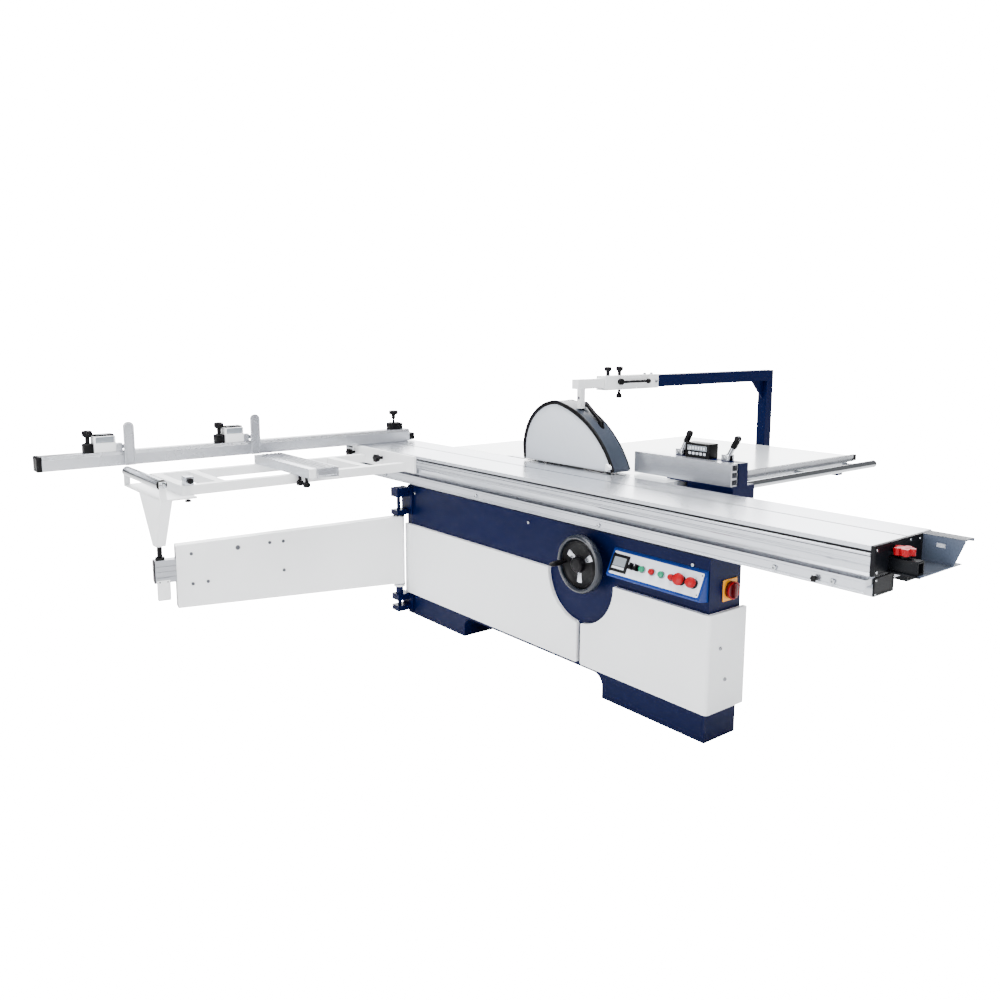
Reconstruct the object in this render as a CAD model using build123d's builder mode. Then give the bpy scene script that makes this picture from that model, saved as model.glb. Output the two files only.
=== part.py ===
"""Sliding-table panel saw, built as separate pieces in one frame.

Frame: millimetres, +Z up.  X runs along the sliding table's travel, +X towards the
operator's end.  Y runs across it, +Y towards the rip fence and extension table.
The origin is on the floor, below the main blade's axle and in the blade's plane.
"""
from math import atan2, cos, hypot, radians, sin
import os

from build123d import *

os.makedirs("parts", exist_ok=True)

# ---------------------------------------------------------------- driving dimensions
# Overall
TABLE_TOP = 875.0            # working height
SLIDE_LENGTH = 3200.0        # sliding table
SLIDE_WIDTH = 375.0
CENTRE_X = 155.0             # middle of the cabinet and of the sliding table at rest
CABINET_LENGTH = 1990.0
SLIDE_GAP = 14.0             # sliding table's edge to the blade plane

# Sliding table, rail and roller carriage
SLIDE_HEIGHT = 97.0
SLIDE_FLANGE = 15.0          # thin edge that reaches over the tilted blade
SLIDE_FLANGE_WIDTH = 121.0
SLOT_FROM_FRONT = 215.0      # T-slot in the table's top
COVE_RADIUS = 34.0           # hollow along the table's front, above its lower edge
RAIL_GAP = 13.0              # shadow gap between table and rail
RAIL_HEIGHT = 60.0
RAIL_LENGTH = 3180.0
RAIL_WIDTH = 174.0
ROLLER_RADIUS = 22.0
CARRIAGE_LENGTH = 1600.0
RUNNING = 0.05               # radial clearance of a shaft in its bore
FREE = 0.3                   # clearance between parts that pass each other

# Cabinet
SHEET = 4.0
FRONT_OVERHANG = 29.0        # table front edge proud of the cabinet's front
END_DEPTH = 182.0            # narrow part under the table
BODY_INSET = 60.0            # deep part under the cast table, from the cabinet's far end
BODY_END = 600.0
BODY_BACK = 440.0
ARCH_X = (-332.0, 625.0)     # toe space between the feet
ARCH_HEIGHT = 100.0
COVER_PROUD = 18.0
COVER_Z = (117.0, 497.0)
COVER_SEAM_X = 497.0
COVER_SEAM_GAP = 24.0
NOTCH_RADIUS = 195.0
WHEEL_X, WHEEL_Z = 538.0, 566.0
WHEEL_RADIUS = 122.0

# Saw unit
BLADE_RADIUS = 150.0
BLADE_THICKNESS = 3.2
BLADE_HEIGHT = 70.0          # blade above the table at rest
SPINDLE_RADIUS = 15.0
PULLEY_RADIUS = 35.0
MOTOR_PULLEY_RADIUS = 45.0
MOTOR_RADIUS = 90.0
MOTOR_X, MOTOR_DROP = 60.0, 195.0
SCORING_RADIUS = 60.0
SCORING_X = 290.0
SCORING_HEIGHT = 3.0
ARC_RADIUS = 330.0           # tilt guide, centred on the table surface in the blade plane
PIN_RADIUS = 9.0
SLOT_HALF = 9.3             # half the width of the arc slots

# Cast table, extension and guide bar
CAST_X = (-899.0, 630.0)
CAST_BACK = 478.0
CAST_THICKNESS = 60.0
CAST_PLATE = 15.0
EXTENSION_X = (-449.0, 630.0)
EXTENSION_BACK = 1427.0
EXTENSION_THICKNESS = 50.0
INSERT_X = (-430.0, 400.0)
INSERT_BACK = 45.0
BAR_RADIUS = 19.0
BAR_OUT = 60.0               # bar axis from the table's edge
BAR_DROP = 53.0              # bar axis below the table's top
TUBE = 50.0

# Rip fence
FENCE_Y = 84.0
FENCE_X = (369.0, 895.0)
FENCE_THICKNESS = 45.0
FENCE_HEIGHT = 95.0

# Overhead guard
ARM_X = 87.0
POST = 56.0
ARM_TOP = 425.0              # above the table
ARM_DEPTH = 60.0
HOOD_Y = (-25.0, 80.0)
HOOD_HEIGHT = 311.0
HOOD_GAP = 8.0

# Crosscut outrigger
FRAME_X = (-1257.0, -795.0)
FRAME_OUT = -1585.0
BEAM = 45.0
BEAM_DROP = 45.0
CROSS_X = -1264.0            # face of the crosscut fence
CROSS_DEPTH = 80.0
CROSS_Z = (5.0, 57.0)        # above the table
CROSS_Y = (-1856.0, -66.0)
EXTENSION_Y = -2078.0
OUTER_ROLLER_RADIUS = 24.0
OUTER_ROLLER_Y = -1685.0
LEG_Y = -1613.0
LEG_X = -1000.0

# Swing arm
HINGE_X, HINGE_Y = -845.0, -415.0
HINGE_PIN_RADIUS = 10.0
SWING_Z = (175.0, 540.0)
SWING_LENGTH = 1150.0
SWING_THICKNESS = 60.0
INNER_Z = (330.0, 440.0)
INNER_THICKNESS = 48.0

# Stops on the crosscut fence, by the middle of their flaps
STOP_Y = {"a": -1672.0, "b": -1032.0}

# ---------------------------------------------------------------- derived places
slide_back = -SLIDE_GAP
slide_front = slide_back - SLIDE_WIDTH
slide_bottom = TABLE_TOP - SLIDE_HEIGHT
flange_under = TABLE_TOP - SLIDE_FLANGE
box_back = slide_back - SLIDE_FLANGE_WIDTH
rail_top = slide_bottom - RAIL_GAP
cabinet_top = rail_top - RAIL_HEIGHT
slide_x = (CENTRE_X - SLIDE_LENGTH / 2, CENTRE_X + SLIDE_LENGTH / 2)
rail_x = (CENTRE_X - RAIL_LENGTH / 2, CENTRE_X + RAIL_LENGTH / 2)
rail_back = slide_front + RAIL_WIDTH
track_y = slide_front + 104.0          # middle of the roller track
cabinet_x = (CENTRE_X - CABINET_LENGTH / 2, CENTRE_X + CABINET_LENGTH / 2)
body_x = (cabinet_x[0] + BODY_INSET, BODY_END)
cabinet_front = slide_front + FRONT_OVERHANG
end_back = cabinet_front + END_DEPTH
spindle_z = TABLE_TOP + BLADE_HEIGHT - BLADE_RADIUS
scoring_z = TABLE_TOP + SCORING_HEIGHT - SCORING_RADIUS
motor_z = spindle_z - MOTOR_DROP
cast_under = TABLE_TOP - CAST_THICKNESS
bar_x = CAST_X[1] + BAR_OUT
bar_z = TABLE_TOP - BAR_DROP
frame_top = TABLE_TOP - BEAM_DROP
frame_under = frame_top - BEAM


# ---------------------------------------------------------------- helpers
def block(x, y, z, mode=Mode.ADD):
    """A box given by its (low, high) range along each axis."""
    middle = tuple((low + high) / 2 for low, high in (x, y, z))
    with Locations(middle):
        return Box(x[1] - x[0], y[1] - y[0], z[1] - z[0], mode=mode)


def rod(axis, across, span, radius, mode=Mode.ADD):
    """A cylinder along X, Y or Z; across holds its two other coordinates in order."""
    middle = (span[0] + span[1]) / 2
    place = {"X": (middle, *across), "Y": (across[0], middle, across[1]), "Z": (*across, middle)}
    turn = {"X": (0, 90, 0), "Y": (90, 0, 0), "Z": (0, 0, 0)}
    with Locations(Location(place[axis], turn[axis])):
        return Cylinder(radius, span[1] - span[0], mode=mode)


def save(builder, name):
    """Label a finished piece and write its STEP file."""
    builder.part.label = name
    export_step(builder.part, f"parts/{name}.step")


# ================================================================ cabinet
with BuildPart() as cabinet_body:
    block(cabinet_x, (cabinet_front, end_back), (0, cabinet_top))
    block(body_x, (end_back, BODY_BACK), (0, cabinet_top))
    block(body_x, (-8, BODY_BACK), (cabinet_top, cast_under))
    # toe space below the front, between the two feet
    with BuildSketch(Plane.XZ.offset(-cabinet_front)) as toe_space:
        with Locations(((ARCH_X[0] + ARCH_X[1]) / 2, ARCH_HEIGHT / 2)):
            Rectangle(ARCH_X[1] - ARCH_X[0], ARCH_HEIGHT)
        fillet(toe_space.vertices().group_by(Axis.Y)[-1], ARCH_HEIGHT / 2)
    extrude(amount=-END_DEPTH, mode=Mode.SUBTRACT)
    inner_front, inner_back = cabinet_front + SHEET, BODY_BACK - SHEET
    above_arch = (ARCH_HEIGHT + SHEET, cabinet_top - SHEET)
    # hollow of the deep body, open towards the cast table
    block((body_x[0] + SHEET, body_x[1] - SHEET), (end_back + SHEET, inner_back),
          (SHEET, cabinet_top - SHEET), mode=Mode.SUBTRACT)
    block((body_x[0] + SHEET, body_x[1] - SHEET), (-8, inner_back),
          (cabinet_top - SHEET, cast_under), mode=Mode.SUBTRACT)
    block((body_x[0] + SHEET, body_x[1] - SHEET), (inner_front, end_back + SHEET),
          above_arch, mode=Mode.SUBTRACT)
    # hollows of the two ends and their feet
    block((cabinet_x[0] + SHEET, body_x[0]), (inner_front, end_back - SHEET),
          (SHEET, cabinet_top - SHEET), mode=Mode.SUBTRACT)
    block((body_x[0], ARCH_X[0] - SHEET), (inner_front, end_back - SHEET),
          (SHEET, ARCH_HEIGHT + SHEET), mode=Mode.SUBTRACT)
    block((ARCH_X[1] + SHEET, cabinet_x[1] - SHEET), (inner_front, end_back - SHEET),
          (SHEET, cabinet_top - SHEET), mode=Mode.SUBTRACT)
    block((body_x[1] + SHEET, ARCH_X[1] + SHEET), (inner_front, end_back - SHEET), above_arch,
          mode=Mode.SUBTRACT)
    # opening in the top, where the blade and its unit swing
    block((-300, 420), (rail_back - 8, -8), (cabinet_top - SHEET, cabinet_top),
          mode=Mode.SUBTRACT)
    # two welded guide plates with arc slots for the tilt pins
    for guide_x in (-262.0, 370.0):
        with BuildSketch(Plane.YZ.offset(guide_x)) as guide:
            with Locations(((inner_front + 150) / 2, (480 + cabinet_top - SHEET) / 2)):
                Rectangle(150 - inner_front, cabinet_top - SHEET - 480)
            with BuildLine():
                outer = CenterArc((0, TABLE_TOP), ARC_RADIUS + SLOT_HALF, 270 - 51, 51 + 24)
                inner = CenterArc((0, TABLE_TOP), ARC_RADIUS - SLOT_HALF, 270 - 51, 51 + 24)
                Line(outer @ 0, inner @ 0)
                Line(outer @ 1, inner @ 1)
            make_face(mode=Mode.SUBTRACT)
        extrude(amount=12)
    # bearing hole for the handwheel's shaft, and the gland of the mains lead behind
    rod("Y", (WHEEL_X, WHEEL_Z), (cabinet_front - 1, inner_front + 1), 12 + RUNNING,
        mode=Mode.SUBTRACT)
    rod("Y", (body_x[1] - 120, 200), (inner_back - 1, BODY_BACK + 1), 16,
        mode=Mode.SUBTRACT)
save(cabinet_body, "cabinet_body")


def cover_outline(x, notch_radius, margin=0.0):
    """The outline of a cover on the cabinet's front: a rectangle less the round notch."""
    with Locations(((x[0] + x[1]) / 2, (COVER_Z[0] + COVER_Z[1]) / 2)):
        Rectangle(x[1] - x[0] - 2 * margin, COVER_Z[1] - COVER_Z[0] - 2 * margin)
    with Locations((COVER_SEAM_X, COVER_Z[1] - 5)):
        Circle(notch_radius + margin, mode=Mode.SUBTRACT)


left_cover_x = (cabinet_x[0] - 3, COVER_SEAM_X - COVER_SEAM_GAP / 2)
right_cover_x = (COVER_SEAM_X + COVER_SEAM_GAP / 2, cabinet_x[1] + COVER_PROUD)

with BuildPart() as left_cover:
    with BuildSketch(Plane.XZ.offset(-cabinet_front)) as outline:
        cover_outline(left_cover_x, NOTCH_RADIUS)
        fillet(outline.vertices().filter_by(lambda v: v.X > COVER_SEAM_X - 60), 9)
    extrude(amount=COVER_PROUD)
    with BuildSketch(Plane.XZ.offset(-cabinet_front)):
        cover_outline(left_cover_x, NOTCH_RADIUS, margin=12)
    extrude(amount=COVER_PROUD - 3, mode=Mode.SUBTRACT)
    face = left_cover.faces().sort_by(Axis.Y)[0]
    fillet(face.edges(), 5)
save(left_cover, "left_cover")

with BuildPart() as right_cover:
    with BuildSketch(Plane.XZ.offset(-cabinet_front)) as outline:
        cover_outline(right_cover_x, NOTCH_RADIUS)
        fillet(outline.vertices().filter_by(lambda v: v.X < COVER_SEAM_X + 60), 9)
    extrude(amount=COVER_PROUD)
    block((cabinet_x[1], right_cover_x[1]), (cabinet_front, end_back + 20), COVER_Z)
    corner = right_cover.edges().filter_by(Axis.Z).filter_by(
        lambda e: e.center().X > cabinet_x[1] + 10 and e.center().Y < cabinet_front)
    fillet(corner, COVER_PROUD - 2)
    with BuildSketch(Plane.XZ.offset(-cabinet_front)):
        cover_outline((right_cover_x[0], cabinet_x[1]), NOTCH_RADIUS, margin=12)
    extrude(amount=COVER_PROUD - 3, mode=Mode.SUBTRACT)
    block((cabinet_x[1], right_cover_x[1] - 3), (cabinet_front + 12, end_back + 8),
          (COVER_Z[0] + 12, COVER_Z[1] - 12), mode=Mode.SUBTRACT)
save(right_cover, "right_cover")

with BuildPart() as fixing_bolts:
    for x in (-769.0, 152.0, 1073.0):
        rod("Y", (x, cabinet_top - 38), (cabinet_front - 4, cabinet_front), 6)
    for y, z in ((cabinet_front + 51, 363.0), (cabinet_front + 85, 237.0)):
        rod("X", (y, z), (right_cover_x[1], right_cover_x[1] + 3), 6)
    for x in (-1015.0, -200.0, 615.0, 1430.0, 1640.0):
        rod("Y", (x, cabinet_top + 34), (slide_front - 5, slide_front), 7)
save(fixing_bolts, "fixing_bolts")

# ================================================================ control panel
PANEL_X = (684.0, 1144.0)
PANEL_TOP, PANEL_BOTTOM = (6.0, 655.0), (52.0, 557.0)     # (proud of the front, z)
panel_mid_x = (PANEL_X[0] + PANEL_X[1]) / 2
panel_rise = hypot(PANEL_BOTTOM[0] - PANEL_TOP[0], PANEL_TOP[1] - PANEL_BOTTOM[1])
slope = atan2(PANEL_BOTTOM[0] - PANEL_TOP[0], PANEL_TOP[1] - PANEL_BOTTOM[1])
panel_normal = Vector(0, -cos(slope), sin(slope))
panel_centre = Vector(panel_mid_x, cabinet_front - (PANEL_TOP[0] + PANEL_BOTTOM[0]) / 2,
                      (PANEL_TOP[1] + PANEL_BOTTOM[1]) / 2)
panel_plane = Plane(origin=panel_centre, x_dir=(1, 0, 0), z_dir=panel_normal)
PLATE = 3.0
BEZEL = 5.0
BUTTONS = {"green_button_a": -57.0, "red_button_a": -9.0, "green_button_b": 38.0,
           "red_button_b": 86.0}
SELECTORS = {"selector_a": -112.0, "selector_b": -84.0}
STOPS = {"stop_button": 130.0, "emergency_stop": 186.0}
controls = {**BUTTONS, **SELECTORS, **STOPS}

with BuildPart() as control_panel:
    with BuildSketch(Plane.YZ.offset(PANEL_X[0])):
        with BuildLine():
            Polyline((cabinet_front, 659), (cabinet_front - PANEL_TOP[0], PANEL_TOP[1]),
                     (cabinet_front - PANEL_BOTTOM[0], PANEL_BOTTOM[1]),
                     (cabinet_front - PANEL_BOTTOM[0] + 5, PANEL_BOTTOM[1] - 8),
                     (cabinet_front, 541), close=True)
        make_face()
    extrude(amount=PANEL_X[1] - PANEL_X[0])
    with BuildSketch(panel_plane):
        RectangleRounded(PANEL_X[1] - PANEL_X[0] - 20, panel_rise - 16, 6)
    extrude(amount=-PLATE, mode=Mode.SUBTRACT)
    with BuildSketch(panel_plane.offset(-PLATE)):
        for x in controls.values():
            with Locations((x, 0)):
                Circle(13)
    extrude(amount=-14, mode=Mode.SUBTRACT)
save(control_panel, "control_panel")

with BuildPart() as panel_face:
    with BuildSketch(panel_plane.offset(-PLATE)):
        RectangleRounded(PANEL_X[1] - PANEL_X[0] - 20, panel_rise - 16, 6)
        for x in controls.values():
            with Locations((x, 0)):
                Circle(10, mode=Mode.SUBTRACT)
    extrude(amount=PLATE)
save(panel_face, "panel_face")

SWITCH_Y, SWITCH_Z = cabinet_front + 115, 572.0
with BuildPart() as button_bezels:
    with BuildSketch(panel_plane):
        for x in controls.values():
            with Locations((x, 0)):
                Circle(13.5)
                Circle(10, mode=Mode.SUBTRACT)
    extrude(amount=BEZEL)
    with Locations(Location((cabinet_x[1] + 2, SWITCH_Y, SWITCH_Z))):
        Box(4, 80, 80)
    rod("X", (SWITCH_Y, SWITCH_Z), (cabinet_x[1] - 1, cabinet_x[1] + 6), 8, mode=Mode.SUBTRACT)
save(button_bezels, "button_bezels")


def button(name, x, head_radius, head_low, head_high):
    """A push button: a stem through the panel and a head above its bezel."""
    with BuildPart() as piece:
        with BuildSketch(panel_plane.offset(-8)):
            with Locations((x, 0)):
                Circle(9.5)
        extrude(amount=8 + head_high - 2)
        with BuildSketch(panel_plane.offset(head_low)):
            with Locations((x, 0)):
                Circle(head_radius)
        extrude(amount=head_high - head_low)
        top = piece.faces().sort_by(lambda f: (f.center() - panel_centre).dot(panel_normal))[-1]
        fillet(top.edges(), 1.5)
    save(piece, name)


for name, x in BUTTONS.items():
    button(name, x, 9.5, 2, 9)
for name, x in STOPS.items():
    button(name, x, 19.0, 14, 27)

for name, x in SELECTORS.items():
    with BuildPart() as selector:
        with BuildSketch(panel_plane.offset(BEZEL + FREE)):
            with Locations((x, 0)):
                Circle(11)
        extrude(amount=5)
        with BuildSketch(panel_plane.offset(BEZEL + FREE + 5)):
            with Locations((x, 0)):
                Rectangle(6, 22)
        extrude(amount=9)
        with BuildSketch(panel_plane.offset(-8)):
            with Locations((x, 0)):
                Circle(9.5)
        extrude(amount=8 + BEZEL + FREE)
    save(selector, name)

with BuildPart() as main_switch:
    rod("X", (SWITCH_Y, SWITCH_Z), (cabinet_x[1] + 0.5, cabinet_x[1] + 4 + FREE), 7.5)
    rod("X", (SWITCH_Y, SWITCH_Z), (cabinet_x[1] + 4 + FREE, cabinet_x[1] + 14), 27)
    block((cabinet_x[1] + 14, cabinet_x[1] + 32), (SWITCH_Y - 8, SWITCH_Y + 8),
          (SWITCH_Z - 27, SWITCH_Z + 27))
save(main_switch, "main_switch")

# ================================================================ handwheel
wheel_face = cabinet_front - 65
with BuildPart() as handwheel:
    rod("Y", (WHEEL_X, WHEEL_Z), (wheel_face - 8, wheel_face + 38), WHEEL_RADIUS)
    rod("Y", (WHEEL_X, WHEEL_Z), (wheel_face - 9, wheel_face + 10), WHEEL_RADIUS - 14,
        mode=Mode.SUBTRACT)
    rod("Y", (WHEEL_X, WHEEL_Z), (wheel_face + 18, wheel_face + 39), WHEEL_RADIUS - 10,
        mode=Mode.SUBTRACT)
    rod("Y", (WHEEL_X, WHEEL_Z), (wheel_face - 12, cabinet_front - 0.5), 22)
    rod("Y", (WHEEL_X, WHEEL_Z), (cabinet_front - 1, cabinet_front + 60), 12)
    rod("Y", (WHEEL_X - 84, WHEEL_Z - 6), (wheel_face - 80, wheel_face + 12), 8)
    rod("Y", (WHEEL_X - 84, WHEEL_Z - 6), (wheel_face - 78, wheel_face - 6), 12)
save(handwheel, "handwheel")

# ================================================================ fixed rail
with BuildPart() as fixed_rail:
    with BuildSketch(Plane.YZ.offset(rail_x[0])):
        with BuildLine():
            Polyline((slide_front, cabinet_top + 15), (slide_front, rail_top),
                     (rail_back, rail_top), (rail_back, rail_top - 20),
                     (track_y + 60, rail_top - 20), (track_y + 60, cabinet_top),
                     (track_y - 60, cabinet_top), (track_y - 60, rail_top - 20),
                     (slide_front + 7, rail_top - 20), (slide_front + 7, cabinet_top + 15),
                     close=True)
        make_face()
        with Locations((track_y, cabinet_top + 24)):
            with GridLocations(58, 0, 2, 1):
                Rectangle(50, 34, mode=Mode.SUBTRACT)
        with Locations((slide_front + 1, rail_top - 8), (slide_front + 1, rail_top - 34)):
            Rectangle(3, 2, mode=Mode.SUBTRACT)
    extrude(amount=RAIL_LENGTH)
    # open square channel on the rail's end, below the table's blade side
    channel_y = (slide_front + 256, slide_front + 330)
    block((rail_x[1] - 40, rail_x[1]), (rail_back, channel_y[0] + 2), (rail_top - 20, rail_top))
    block((rail_x[1] - 40, rail_x[1]), channel_y, (slide_bottom - 60, slide_bottom - 2))
    for low in (slide_bottom - 56, slide_bottom - 29):
        block((rail_x[1] - 41, rail_x[1] + 1), (channel_y[0] + 5, channel_y[1] - 5),
              (low, low + 22), mode=Mode.SUBTRACT)
    # guide strips that keep the carriage in line, standing in the table's channel
    block(rail_x, (track_y - 50, track_y - 44), (rail_top, rail_top + 8))
    block(rail_x, (track_y + 44, track_y + 50), (rail_top, rail_top + 8))
save(fixed_rail, "fixed_rail")

# ================================================================ roller carriage
channel_top = rail_top + 2 * ROLLER_RADIUS + 2 * FREE
roller_z = rail_top + FREE + ROLLER_RADIUS
carriage_x = (CENTRE_X - CARRIAGE_LENGTH / 2, CENTRE_X + CARRIAGE_LENGTH / 2)
with BuildPart() as roller_carriage:
    for side in (-1, 1):
        y = track_y + side * 12
        block(carriage_x, (y - 5, y + 5), (roller_z - 11, roller_z + 11))
    station_step = (CARRIAGE_LENGTH - 100) / 5
    for station in range(6):
        x = carriage_x[0] + 50 + station * station_step
        rod("Y", (x, roller_z), (track_y - 38, track_y + 38), 6)
    for y in (track_y - 37, track_y + 19):
        with BuildSketch(Plane.XZ.offset(-y)):
            for station in range(6):
                with Locations((carriage_x[0] + 50 + station * station_step, roller_z)):
                    Circle(ROLLER_RADIUS)
                    Circle(6 + RUNNING, mode=Mode.SUBTRACT)
        extrude(amount=-18)
save(roller_carriage, "roller_carriage")

# ================================================================ sliding table
slot_y = slide_front + SLOT_FROM_FRONT
with BuildPart() as sliding_table:
    with BuildSketch(Plane.YZ.offset(slide_x[0])):
        with BuildLine():
            Polyline((slide_front, slide_bottom), (slide_front, TABLE_TOP),
                     (slide_back, TABLE_TOP), (slide_back, TABLE_TOP - 4),
                     (slide_back - 20, flange_under), (box_back, flange_under),
                     (box_back, slide_bottom), close=True)
        make_face()
        # channel for the roller carriage, and the hollows above it
        with Locations((track_y, (slide_bottom + channel_top) / 2 - 1)):
            Rectangle(116, channel_top - slide_bottom + 2, mode=Mode.SUBTRACT)
        hollow_z = (channel_top + 6, TABLE_TOP - 13)
        for low, high in ((slide_front + 12, track_y - 5), (track_y + 1, slot_y - 14),
                          (slot_y + 14, box_back - 7)):
            if high - low > 4:
                with Locations(((low + high) / 2, sum(hollow_z) / 2)):
                    Rectangle(high - low, hollow_z[1] - hollow_z[0], mode=Mode.SUBTRACT)
        side_z = (slide_bottom + 6, channel_top - 4)
        for low, high in ((slide_front + 12, track_y - 64), (track_y + 64, box_back - 7)):
            with Locations(((low + high) / 2, sum(side_z) / 2)):
                Rectangle(high - low, side_z[1] - side_z[0], mode=Mode.SUBTRACT)
        # T-slot in the top, and the grooves along the front edge
        with Locations((slot_y, TABLE_TOP - 3)):
            Rectangle(9, 6, mode=Mode.SUBTRACT)
        with Locations((slot_y, TABLE_TOP - 8)):
            Rectangle(17, 6, mode=Mode.SUBTRACT)
        for drop, tall, deep in ((18.5, 8, 7), (49, 3, 3), (54, 3, 3)):
            with Locations((slide_front + deep / 2, TABLE_TOP - drop)):
                Rectangle(deep, tall, mode=Mode.SUBTRACT)
        with Locations((slide_front - COVE_RADIUS + 9, slide_bottom + 14)):
            Circle(COVE_RADIUS, mode=Mode.SUBTRACT)
    extrude(amount=SLIDE_LENGTH)
save(sliding_table, "sliding_table")

END_PLATE = 12.0
TRAY_REACH = 143.0
TRAY_SHEET = 3.0
tray_wall = slide_front + 294
tray_floor = TABLE_TOP - 92
tray_x = (slide_x[1] + END_PLATE, slide_x[1] + 112)
with BuildPart() as end_tray:
    # cap over the extrusion's end
    block((slide_x[1], tray_x[0]), (slide_front, tray_wall + TRAY_SHEET),
          (slide_bottom + 2, TABLE_TOP))
    # folded sheet tray: an upright wall, a rim along its top and a floor below
    with BuildSketch(Plane.XZ.offset(-tray_wall)):
        with BuildLine():
            Polyline((slide_x[1], tray_floor), (slide_x[1], TABLE_TOP),
                     (slide_x[1] + TRAY_REACH, TABLE_TOP),
                     (slide_x[1] + TRAY_REACH, TABLE_TOP - 8), (tray_x[1], tray_floor),
                     close=True)
        make_face()
        with Locations((slide_x[1] + 70, TABLE_TOP - 29)):
            Rectangle(30, 14, mode=Mode.SUBTRACT)
    extrude(amount=-TRAY_SHEET)
    block((slide_x[1], slide_x[1] + TRAY_REACH), (tray_wall, slide_back - 20),
          (TABLE_TOP - TRAY_SHEET, TABLE_TOP))
    block((slide_x[1], slide_x[1] + TRAY_REACH), (slide_back - 20 - TRAY_SHEET, slide_back - 20),
          (TABLE_TOP - 10, TABLE_TOP))
    block((slide_x[1], tray_x[1]), (slide_front + 82, slide_back - 20),
          (tray_floor, tray_floor + TRAY_SHEET))
    # square tube that carries the table's lock, open at its near end
    tube_y = (slide_front + 89, slide_front + 129)
    tube_top = tray_floor + 46
    block((tray_x[0], slide_x[1] + 100), tube_y, (tray_floor + TRAY_SHEET, tube_top))
    block((tray_x[0] + 30, slide_x[1] + 101), (tube_y[0] + 4, tube_y[1] - 4),
          (tray_floor + TRAY_SHEET + 4, tube_top - 4), mode=Mode.SUBTRACT)
save(end_tray, "end_tray")

LOCK_X, LOCK_Y = slide_x[1] + 48, sum(tube_y) / 2
with BuildPart() as lock_handle:
    rod("Z", (LOCK_X, LOCK_Y), (tube_top + FREE, tube_top + 12), 11)
    with BuildSketch(Plane.XY.offset(tube_top + 12)):
        with Locations((LOCK_X, LOCK_Y)):
            Circle(22)
            with PolarLocations(22, 5, start_angle=90):
                Circle(10)
    extrude(amount=22)
save(lock_handle, "lock_handle")

# ================================================================ cast table and extension
cast_front = slide_back + 3
with BuildPart() as cast_table:
    block(CAST_X, (cast_front, CAST_BACK), (cast_under, TABLE_TOP))
    # pockets between the ribs; the middle one leaves room for the saw unit
    plate_under = TABLE_TOP - CAST_PLATE
    block((CAST_X[0] + 20, -460), (cast_front + 20, CAST_BACK - 20), (cast_under, plate_under),
          mode=Mode.SUBTRACT)
    block((-440, 420), (cast_front, CAST_BACK - 170), (cast_under, plate_under), mode=Mode.SUBTRACT)
    block((-440, 420), (CAST_BACK - 156, CAST_BACK - 20), (cast_under, plate_under),
          mode=Mode.SUBTRACT)
    block((440, CAST_X[1] - 20), (cast_front + 20, CAST_BACK - 20), (cast_under, plate_under),
          mode=Mode.SUBTRACT)
    # opening for the insert and the blades
    block(INSERT_X, (cast_front, INSERT_BACK), (plate_under - 1, TABLE_TOP), mode=Mode.SUBTRACT)
    block((INSERT_X[0] - 4, INSERT_X[1] + 4), (INSERT_BACK - 4, INSERT_BACK + 8),
          (plate_under - 1, TABLE_TOP - 8), mode=Mode.SUBTRACT)
    fillet(cast_table.edges().filter_by(Axis.Z).filter_by(
        lambda e: e.center().Y > CAST_BACK - 1 and e.center().X < 0), 6)
save(cast_table, "cast_table")

with BuildPart() as table_insert:
    block(INSERT_X, (4, INSERT_BACK), (TABLE_TOP - 8, TABLE_TOP))
    block((INSERT_X[0] + 4, INSERT_X[1] - 4), (INSERT_BACK - 12, INSERT_BACK + 7.5),
          (plate_under, TABLE_TOP - 8))
save(table_insert, "table_insert")

extension_under = TABLE_TOP - EXTENSION_THICKNESS
with BuildPart() as extension_table:
    block(EXTENSION_X, (CAST_BACK, EXTENSION_BACK), (extension_under, TABLE_TOP))
    block((EXTENSION_X[0] + 5, EXTENSION_X[1] - 5), (CAST_BACK + 5, EXTENSION_BACK - 5),
          (extension_under, TABLE_TOP - 6), mode=Mode.SUBTRACT)
    for x in (-180.0, 90.0, 360.0):
        block((x - 3, x + 3), (CAST_BACK + 5, EXTENSION_BACK - 5), (extension_under, TABLE_TOP - 6))
save(extension_table, "extension_table")

beam_z = (cast_under - TUBE, cast_under)
back_beam_y = (EXTENSION_BACK - 37, EXTENSION_BACK + 13)
leg_x = (EXTENSION_X[0] + 20, EXTENSION_X[0] + 20 + TUBE)
with BuildPart() as extension_frame:
    for x in (-330.0, 280.0):
        block((x, x + TUBE), (BODY_BACK, back_beam_y[0]), beam_z)
        block((x, x + TUBE), (CAST_BACK + 8, back_beam_y[0]), (cast_under, extension_under))
    block((EXTENSION_X[0] + 20, EXTENSION_X[1] - 30), back_beam_y, beam_z)
    block(leg_x, back_beam_y, (10, beam_z[0]))
    rod("Z", (sum(leg_x) / 2, sum(back_beam_y) / 2), (0, 10), 45)
    for x in (-330.0, 280.0):
        block((x - 30, x + TUBE + 30), (BODY_BACK, BODY_BACK + 8), (beam_z[0] - 25, beam_z[1]))
save(extension_frame, "extension_frame")

with BuildPart() as guide_bar:
    rod("Y", (bar_x, bar_z), (-5, EXTENSION_BACK + 158), BAR_RADIUS)
    fillet(guide_bar.edges().sort_by(Axis.Y)[-1], 5)
    for y in (30.0, CAST_BACK - 60, CAST_BACK + 60, (CAST_BACK + EXTENSION_BACK) / 2,
              EXTENSION_BACK - 40):
        rod("X", (y, bar_z + 9), (CAST_X[1], bar_x), 8)
save(guide_bar, "guide_bar")

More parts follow.
